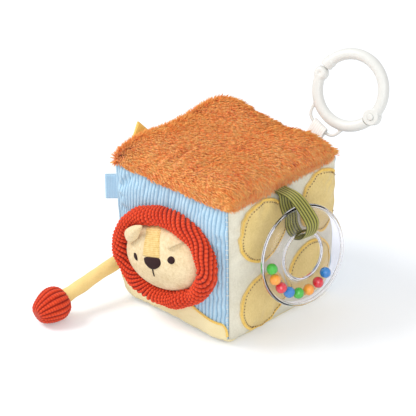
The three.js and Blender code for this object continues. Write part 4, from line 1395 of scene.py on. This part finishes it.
def ribbon(name, path, across_start, across_middle, width, thickness, ribs, rib_height, count):
    """A ribbon along a path, its width turning from one direction at its ends to another
    halfway."""
    centre = smooth_path(path, count)
    tangent = unit(np.gradient(centre, axis=0))
    turn = np.minimum(1, 2 - 2 * np.abs(np.linspace(-1, 1, count)))[:, None]
    across = (1 - turn) * across_start + turn * across_middle
    across = unit(across - np.sum(across * tangent, axis=1, keepdims=True) * tangent)
    through = np.cross(tangent, across)
    spots = np.linspace(-1, 1, ribs * 6 + 1) * width / 2
    ridge = np.abs(np.sin(np.linspace(0, ribs * math.pi, len(spots)))) ** 1.4
    rise = thickness / 2 - rib_height * (1 - ridge)
    section = np.array([*zip(spots, rise), *zip(spots[::-1], -rise)])
    rings = (centre[:, None] + section[:, :1] * across[:, None] + section[:, 1:] * through[:, None])
    steps = np.linalg.norm(np.diff(centre, axis=0), axis=1)
    length = np.concatenate([[0], np.cumsum(steps)])
    piece = ring_mesh(name, rings, np.stack(np.meshgrid(section[:, 0], length), axis=-1))
    # How deep each point lies between the ribs, read as painted shade in the valleys.
    sunk = [*(1 - ridge), *(1 - ridge[::-1])]
    mark(piece.data, "valley", sunk * count + [0.5, 0.5])
    return piece


def seam_root(side, other, along, radius, angle):
    """The line in the groove between two faces that a sewn-in ribbon turns about."""
    reach = FILLET + 0.3 * MM + radius
    turn = math.radians(angle)
    place = (HALF - FILLET) * (side + other)
    place = place + reach * (math.cos(turn) * side + math.sin(turn) * other)
    return place + MIDDLE * abs(other[2]) + along


def ring_ways(azimuth, tilt):
    """A ring's axis, its level way across and its way up."""
    normal = heading(azimuth, tilt)
    across = unit(np.cross(Z, normal))
    return normal, across, np.cross(normal, across)


LOOP_ROOT = seam_root(X, Z, -5.6 * MM * Y, 1.25 * MM, 35)
LOOP_FRONT = LOOP_ROOT + np.array([13.5, 0, -1.1]) * MM
LOOP_HANG = np.array([14.2, 5.6, -20.0]) * MM
LOOP_BEND = np.array([4, 0, -3]) * MM
LOOP_OPENING = (11.2 * MM, 8.8 * MM)
LOOP_LIFT = 12.55 * MM
LOOP_STAND_OFF = 2.95 * MM
LOOP_STRAND = 0.7 * MM
RATTLE_NORMAL, RATTLE_ACROSS, RATTLE_UP = ring_ways(-8.5, 9)
RATTLE_RADIUS = 25.4 * MM
RATTLE_TOP = LOOP_ROOT + LOOP_HANG
RATTLE_MIDDLE = RATTLE_TOP - RATTLE_RADIUS * RATTLE_UP


def olive_loop():
    """The ribbed loop: out of the seam, round the bead ring and back up along the block."""
    def lean(point):
        share = np.clip((LOOP_ROOT[2] - point[2]) / -LOOP_HANG[2], 0, 1)
        return np.array([point[0], LOOP_ROOT[1] + share * LOOP_HANG[1], point[2]])

    bends = []
    for angle in np.radians(range(30, -181, -30)):
        opening = LOOP_OPENING[0] if math.cos(angle) > 0 else LOOP_OPENING[1]
        bends.append(RATTLE_TOP + opening * math.cos(angle) * X + LOOP_LIFT * math.sin(angle) * Z)
    beside = [form("right", 0.0, share, LOOP_STAND_OFF)[0] for share in (0.74, 0.92)]
    ends = LOOP_ROOT + LOOP_STRAND * Z, LOOP_ROOT - LOOP_STRAND * Z
    path = [lean(point) for point in (ends[0], LOOP_FRONT, *bends, *beside, ends[1])]
    piece = ribbon("olive_loop", path, Y, RATTLE_ACROSS, width=11 * MM, thickness=1.1 * MM,
                   ribs=5, rib_height=0.45 * MM, count=110)
    bend = (LOOP_ROOT, LOOP_ROOT + LOOP_BEND)
    dress(piece, "olive_ribbon", "ribbon_loop", "ring_loop", blend=bend)


STRAP_ROOT = seam_root(Y, Z, 24 * MM * X, 1.15 * MM, 35)
STRAP_WAY = heading(82.3, 43)
STRAP_LENGTH = 18.6 * MM
STRAP_STRAND = 0.65 * MM
STRAP_ROUND = 2.3 * MM
STRAP_BEND = 4 * MM
EYE_MIDDLE = STRAP_ROOT + STRAP_LENGTH * STRAP_WAY
EYE_ANGLE = 240
EYE_REACH = 34.2 * MM
CLIP_NORMAL, CLIP_ACROSS, CLIP_UP = ring_ways(-77.3, 21)


def clip_way(degrees):
    """The way out of the hanging ring's middle at an angle round it."""
    angle = math.radians(degrees)
    return CLIP_ACROSS * math.cos(angle) + CLIP_UP * math.sin(angle)


EYE_ALONG = np.cross(CLIP_NORMAL, clip_way(EYE_ANGLE))
CLIP_MIDDLE = EYE_MIDDLE - EYE_REACH * clip_way(EYE_ANGLE)


def clip_strap():
    """The strap: out of the seam, round the hanging ring's eye and back."""
    waist_strand = STRAP_STRAND * unit(np.cross(STRAP_WAY, EYE_ALONG))
    root_strand = STRAP_STRAND * unit(np.cross(STRAP_WAY, X))
    ways = [unit(waist_strand) * math.sin(angle) + STRAP_WAY * math.cos(angle)
            for angle in np.radians((90, 45, 0, -45, -90))]
    waist = (EYE_MIDDLE + STRAP_ROOT) / 2
    path = [
        STRAP_ROOT + root_strand,
        waist + waist_strand,
        *[EYE_MIDDLE + STRAP_ROUND * way for way in ways],
        waist - waist_strand,
        STRAP_ROOT - root_strand,
    ]
    across = EYE_ALONG * np.sign(EYE_ALONG[0])
    piece = ribbon("strap", path, X, across, width=11.5 * MM, thickness=1.0 * MM,
                   ribs=7, rib_height=0.08 * MM, count=80)
    bend = (STRAP_ROOT, STRAP_ROOT + STRAP_BEND * STRAP_WAY)
    dress(piece, "white_ribbon", "strap", "clip_strap", blend=bend)


TAG_THICKNESS = 0.75 * MM
TAG_BULGE = 0.35 * MM
TAG_COLUMNS = 25
TAG_ROWS = 34
TAG_BEND = (1.5 * MM, 4 * MM)


def folded_tag(name, root, across, out, width, length, corners, skin_name, body, node):
    """A ribbon folded double, its ends in the seam and its fold outside, which reaches out by a
    length in its middle and by another at its corners."""
    t = np.linspace(0, 1, TAG_ROWS)
    share = np.linspace(-1, 1, TAG_COLUMNS)[:, None]
    fold = 0.84 + 0.16 * np.sin(math.pi * (t - 0.42) / 0.16)
    along = np.where(np.abs(t - 0.5) > 0.08, 1 - np.abs(2 * t - 1), fold)
    along = along * (length - (length - corners) * np.abs(share))
    gap = (TAG_BULGE + TAG_THICKNESS / 2) * np.cos(math.pi * ease(t, 0.42, 0.58))
    outer = root + (share * width / 2)[..., None] * across + along[..., None] * out
    outer = outer + gap[:, None] * np.cross(across, out)
    normal = unit(np.cross(np.gradient(outer, axis=0), np.gradient(outer, axis=1)))
    half = normal * TAG_THICKNESS / 2
    uv = np.stack(np.broadcast_arrays(share * width / 2, 2 * length * t), axis=-1)
    piece = sheet_mesh(name, outer + half, outer - half, uv)
    turn_outwards(piece)
    dress(piece, skin_name, body, node, blend=[root + bend * out for bend in TAG_BEND])


olive_loop()
clip_strap()
folded_tag("blue_fold", seam_root(-X, -Y, 85.5 * MM * Z, 0.9 * MM, 45), Z, heading(-135, 0),
           width=18 * MM, length=10 * MM, corners=10 * MM,
           skin_name="blue_ribbon", body="blue_label", node="blue_tag")
folded_tag("yellow_fold", seam_root(-X, Z, -27 * MM * Y, 0.9 * MM, 35), Y, heading(180, 73),
           width=19 * MM, length=21.5 * MM, corners=10 * MM,
           skin_name="yellow_ribbon", body="yellow_label", node="yellow_tag")


# Bead ring

RATTLE_HALF_WIDTH = 9 * MM
RATTLE_HALF_DEPTH = 6.5 * MM
RATTLE_WALL = 1.4 * MM
RATTLE_RIM = 0.8 * MM
RATTLE_SEAM = 0.15 * MM
RATTLE_STEPS = 144
RATTLE_SECTION = 20
BEAD_RADIUS = 3.85 * MM
BEAD_TINTS = ("green", "orange", "red", "blue")


def rattle_shell(name, side, node):
    """Half of the hollow ring, with a welded rim along its inner and its outer edge."""
    angles = np.linspace(0.0, math.pi, RATTLE_SECTION)

    def bow(width, depth):
        return [(width * math.cos(t), max(RATTLE_SEAM, depth * math.sin(t))) for t in angles]

    lip = RATTLE_SEAM + RATTLE_RIM
    edge = RATTLE_HALF_WIDTH + RATTLE_RIM
    rim = [
        (edge, RATTLE_SEAM),
        (edge + 0.1 * MM, RATTLE_SEAM + 0.3 * MM),
        (edge, lip - 0.1 * MM),
        (edge - 0.25 * MM, lip),
        (RATTLE_HALF_WIDTH - 0.05 * MM, lip + 0.1 * MM),
    ]
    section = [
        *rim,
        *[point for point in bow(RATTLE_HALF_WIDTH, RATTLE_HALF_DEPTH) if point[1] > lip],
        *[(-out, up) for out, up in rim[::-1]],
        *bow(RATTLE_HALF_WIDTH - RATTLE_WALL, RATTLE_HALF_DEPTH - RATTLE_WALL)[::-1],
    ]
    outs, ups = np.array(section).T[..., None]
    ways = circle(RATTLE_STEPS, RATTLE_ACROSS, RATTLE_UP)[:, None]
    rings = RATTLE_MIDDLE + (RATTLE_RADIUS + outs) * ways + side * ups * RATTLE_NORMAL
    piece = ring_mesh(name, rings, joined=True)
    dress(piece, "clear_plastic", "rattle", node)


def beads():
    slopes = np.linspace(-math.pi / 2 + 0.08, math.pi / 2 - 0.08, 18)
    for number in range(8):
        low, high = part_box(f"bead_{number + 1}")
        middle = np.array((low + high) / 2)
        rings = [
            middle + BEAD_RADIUS * (math.cos(slope) * circle(32, X, Y) + math.sin(slope) * Z)
            for slope in slopes
        ]
        ball = ring_mesh(f"ball_{number + 1}", rings)
        dress(ball, f"{BEAD_TINTS[number % 4]}_plastic", "beads", f"bead_{number + 1}")


rattle_shell("ring_front", 1, "rattle_shell_front")
rattle_shell("ring_back", -1, "rattle_shell_back")
beads()


# Hanging ring

CLIP_RADIUS = 24.8 * MM
CLIP_HALF_WIDTH = 4.0 * MM
CLIP_HALF_DEPTH = 3.6 * MM
CLIP_HINGE = -36
CLIP_SNAP = 151
CLIP_KNUCKLE = 5.8 * MM
CLIP_GAP = 0.3 * MM
KNUCKLE_ROOM = 0.35 * MM
KNUCKLE_CORNER = 0.4 * MM
CUT_CORNER = 0.1 * MM
HOLE_DEPTH = 20 * MM
PIN_RADIUS = 1.4 * MM
# The pin's head above the ring: how high it starts, ends its side and ends, and its radii there
PIN_HEAD_RISES = np.array([0.0, 0.35, 0.5]) * MM
PIN_HEAD_RADII = np.array([2.4, 2.2]) * MM
BOSS_RADIUS = 5 * MM
BOSS_PLACE = 5.6 * MM
BOSS_CORNER = 1.6 * MM
DIMPLE_RADIUS = 1.3 * MM
DIMPLE_DEPTH = 1.8 * MM
DIMPLE_CORNER = 0.3 * MM
# The fixed half starts, and the gate's thicker tip begins, this many degrees from the latch
FIXED_START = 3
GATE_TIP = 14
GATE_TIP_GROWTH = 0.6 * MM
EYE_WIRE = 1.2 * MM
EYE_HALF_WIDTH = 15 * MM
# The eye's wire, along and out from the ring's middle, from its root to its far side
EYE_LEG = np.array([
    (EYE_HALF_WIDTH, math.sqrt(CLIP_RADIUS ** 2 - EYE_HALF_WIDTH ** 2)),
    (11.5 * MM, EYE_REACH - 2.4 * MM),
    (7 * MM, EYE_REACH),
])
# The voxels of a moulded part and of its cuts, in millimetres
PART_VOXEL = 0.4
CUT_VOXEL = 0.34


def clip_place(degrees, rise=0.0):
    return CLIP_MIDDLE + CLIP_RADIUS * clip_way(degrees) + rise * CLIP_NORMAL


def clip_tube(start, end, grown=0.0):
    section = circle(28) * (CLIP_HALF_WIDTH + grown, CLIP_HALF_DEPTH + grown)
    return ring_mesh("clip_part", [
        clip_place(degrees) + section[:, :1] * clip_way(degrees) + section[:, 1:] * CLIP_NORMAL
        for degrees in np.linspace(start, end, 90)
    ])


def turned_shape(name, middle, profile, sides):
    """A round shape about an axis along the ring's own, from its rises and radii."""
    ways = circle(sides, CLIP_ACROSS, CLIP_UP)
    return ring_mesh(name, [middle + reach * ways + rise * CLIP_NORMAL for rise, reach in profile])


def clip_disc(middle, radius, depth, corner):
    half = depth / 2
    profile = ((half, radius - corner), (half - corner, radius))
    below = [(-rise, reach) for rise, reach in profile]
    return turned_shape("clip_part", middle, [*below, *profile[::-1]], 48)


def clip_eye():
    """The thin wire loop that the strap holds."""
    spots = [*(EYE_LEG * (-1, 1)), (0.0, EYE_REACH), *EYE_LEG[::-1]]
    out_way = clip_way(EYE_ANGLE)
    path = [CLIP_MIDDLE + out * out_way + along * EYE_ALONG for along, out in spots]
    path = smooth_path(path, 60)
    sides = np.cross(unit(np.gradient(path, axis=0)), CLIP_NORMAL)
    return ring_mesh("clip_part", [
        point + EYE_WIRE * circle(16, side, CLIP_NORMAL) for point, side in zip(path, sides)])


def moulded_piece(name, parts, steps, node, body):
    """Parts run together into one moulded body, cut where its steps say, its edges softened. The
    work is done at a thousand times the size, where the cuts come out clean."""
    with bpy.context.temp_override(active_object=parts[0], selected_editable_objects=parts):
        bpy.ops.object.join()
    piece = parts[0]
    for shape in (piece, *[tool for tool, _ in steps]):
        shape.data.transform(Matrix.Scale(1 / MM, 4))
    modify(piece, "REMESH", mode="VOXEL", voxel_size=PART_VOXEL, use_smooth_shade=True)
    piece = settle(piece)
    for tool, operation in steps:
        modify(piece, "BOOLEAN", operation=operation, solver="EXACT", object=tool)
        modify(piece, "REMESH", mode="VOXEL", voxel_size=CUT_VOXEL, use_smooth_shade=True)
        piece = settle(piece)
        bpy.data.objects.remove(tool)
    modify(piece, "SMOOTH", factor=0.5, iterations=5)
    piece = settle(piece, name)
    piece.data.transform(Matrix.Scale(MM, 4))
    piece.data.polygons.foreach_set("use_smooth", [True] * len(piece.data.polygons))
    dress(piece, "white_plastic", body, node)


def hinge_steps(side):
    """The steps that make one leaf of the hinge: room for the other, a knuckle and a hole."""
    hinge = clip_place(CLIP_HINGE)
    leaf = CLIP_HALF_DEPTH - CLIP_GAP / 2
    room = clip_disc(hinge + side * CLIP_HALF_DEPTH * CLIP_NORMAL, CLIP_KNUCKLE + KNUCKLE_ROOM,
                     2 * CLIP_HALF_DEPTH + CLIP_GAP, CUT_CORNER)
    knuckle = clip_disc(hinge - side * (leaf + CLIP_GAP) / 2 * CLIP_NORMAL, CLIP_KNUCKLE, leaf,
                        KNUCKLE_CORNER)
    hole = clip_disc(hinge, PIN_RADIUS + CLIP_GAP, HOLE_DEPTH, CUT_CORNER)
    return [(room, "DIFFERENCE"), (knuckle, "UNION"), (hole, "DIFFERENCE")]


def clip_ring():
    """The fixed half with its eye and latch boss, the gate, and the hinge pin between them."""
    gap = math.degrees(CLIP_GAP / CLIP_RADIUS)
    boss_turn = CLIP_SNAP + math.degrees(BOSS_PLACE / CLIP_RADIUS)
    top = CLIP_HALF_DEPTH + CLIP_GAP
    boss = clip_disc(clip_place(boss_turn), BOSS_RADIUS, 2 * CLIP_HALF_DEPTH, BOSS_CORNER)
    dimple = clip_disc(clip_place(boss_turn, top), DIMPLE_RADIUS, DIMPLE_DEPTH, DIMPLE_CORNER)
    parts = [clip_tube(CLIP_SNAP + gap + FIXED_START, 360 + CLIP_HINGE), boss, clip_eye()]
    steps = [*hinge_steps(1), (dimple, "DIFFERENCE")]
    moulded_piece("hanging_ring", parts, steps, "clip_body", "clip")
    end = CLIP_SNAP - gap
    parts = [clip_tube(CLIP_HINGE, end), clip_tube(end - GATE_TIP, end, GATE_TIP_GROWTH)]
    moulded_piece("ring_gate", parts, hinge_steps(-1), "clip_gate", "gate")
    start, shoulder, end = top + PIN_HEAD_RISES
    wide, narrow = PIN_HEAD_RADII
    head_profile = [(end, PIN_RADIUS), (shoulder, narrow), (start, wide), (start, PIN_RADIUS)]
    profile = [*[(-rise, reach) for rise, reach in head_profile], *head_profile[::-1]]
    pin = turned_shape("ring_pin", clip_place(CLIP_HINGE), profile, 40)
    dress(pin, "white_plastic", "clip", "clip_hinge_pin")


clip_ring()
for shape in (THREAD, LOCK):
    bpy.data.objects.remove(shape)


# Stuffing

STUFFING_LINES = 25
STUFFING_DEPTH = 3.2 * MM
STUFFING_LUMPS = 0.6 * MM


def stuffing():
    """The loose fibre that fills the block, a little lumpy, just inside the panels."""
    lines = np.linspace(-1, 1, STUFFING_LINES)
    a, b = np.meshgrid(lines, lines)
    lumps = wobble(4 * a, 4 * b, SEED + 11) - 1
    lift = STUFFING_LUMPS * lumps * (1 - a ** 2) * (1 - b ** 2) - STUFFING_DEPTH
    points, quads, _ = welded_faces(
        STUFFING_LINES, 0.02 * MM, lambda face: form(face, a, b, lift)[0])
    piece = make_mesh("fibre_filling", points, quads)
    turn_outwards(piece)
    dress(piece, "fibre", "block", "stuffing")


stuffing()


# Stage, light and camera

IMAGE_SIDE = 416
FOCAL_PIXELS = 1700
SENSOR = 36
VIEW_BACK = Vector(heading(44.1 - 90, 27.55))
VIEW_DISTANCE = 1207 * MM
VIEW_TARGET = Vector((-0.0297, 0.0122, 0.0525))
FLOOR_HALF = 4.0
FLOOR_DROP = 0.1 * MM


def emptied(owner):
    """The cleared node tree of a material or a world, and the kinds of ray it tells apart."""
    owner.use_nodes = True
    tree = owner.node_tree
    tree.nodes.clear()
    return tree, wires(add(tree, "ShaderNodeLightPath"))


def stage():
    """A matte pale floor, brighter to the camera and in glossy and clear surfaces."""
    corners = [(x * FLOOR_HALF, y * FLOOR_HALF, 0) for x, y in ((-1, -1), (1, -1), (1, 1), (-1, 1))]
    floor = make_mesh("floor", corners, [(0, 1, 2, 3)])
    floor.location.z = -FLOOR_DROP
    material = bpy.data.materials.new("Pale floor")
    tree, rays = emptied(material)
    matte = wire(tree, "ShaderNodeBsdfDiffuse", {"Color": (0.82, 0.84, 0.87, 1)})
    glow = wire(tree, "ShaderNodeEmission", {"Color": (1, 1, 1, 1), "Strength": 0.22})
    both = wire(tree, "ShaderNodeAddShader", {0: matte, 1: glow})
    mirrored = maths("MAXIMUM", rays["Is Glossy Ray"], rays["Is Transmission Ray"])
    seen = maths("MAXIMUM", rays["Is Camera Ray"], mirrored)
    add(tree, "ShaderNodeOutputMaterial", {"Surface": mix_shader(tree, seen, matte, both)})
    floor.data.materials.append(material)


def world():
    """Soft light from all round, white to the camera and a little darker in reflections."""
    made = bpy.data.worlds.new("Studio")
    bpy.context.scene.world = made
    tree, rays = emptied(made)

    def light(tint, strength):
        inputs = {"Color": (*tint, 1), "Strength": strength}
        return wire(tree, "ShaderNodeBackground", inputs)

    soft = light((1, 1, 1), 0.72)
    white = light((1, 1, 1), 1.0)
    mirrored = light((0.97, 0.96, 1), 0.85)
    lit = mix_shader(tree, rays["Is Glossy Ray"], soft, mirrored)
    seen = maths("MAXIMUM", rays["Is Camera Ray"], rays["Is Transmission Ray"])
    add(tree, "ShaderNodeOutputWorld", {"Surface": mix_shader(tree, seen, lit, white)})


def aim(made, spot, way):
    """Puts a lamp or a camera in its spot, looking one way."""
    made.location = spot
    made.rotation_mode = "QUATERNION"
    made.rotation_quaternion = way.to_track_quat("-Z", "Y")


def lamp(name, spot, size, power):
    data = bpy.data.lights.new(name, "AREA")
    data.shape = "DISK"
    data.size = size
    data.energy = power
    aim(place(name, data), spot, Vector(MIDDLE) - Vector(spot))


def camera():
    data = bpy.data.cameras.new("Photograph")
    data.sensor_width = SENSOR
    data.lens = SENSOR * FOCAL_PIXELS / IMAGE_SIDE
    data.clip_start = 0.05
    data.clip_end = 20
    made = place("Photograph", data)
    aim(made, VIEW_TARGET + VIEW_BACK * VIEW_DISTANCE, -VIEW_BACK)
    bpy.context.scene.camera = made


stage()
world()
lamp("Key", (-0.75, -0.75, 1.15), size=0.7, power=13.0)
lamp("Fill", (0.95, -0.75, 0.6), size=0.9, power=5.6)
camera()
bpy.context.scene.view_settings.view_transform = "Standard"
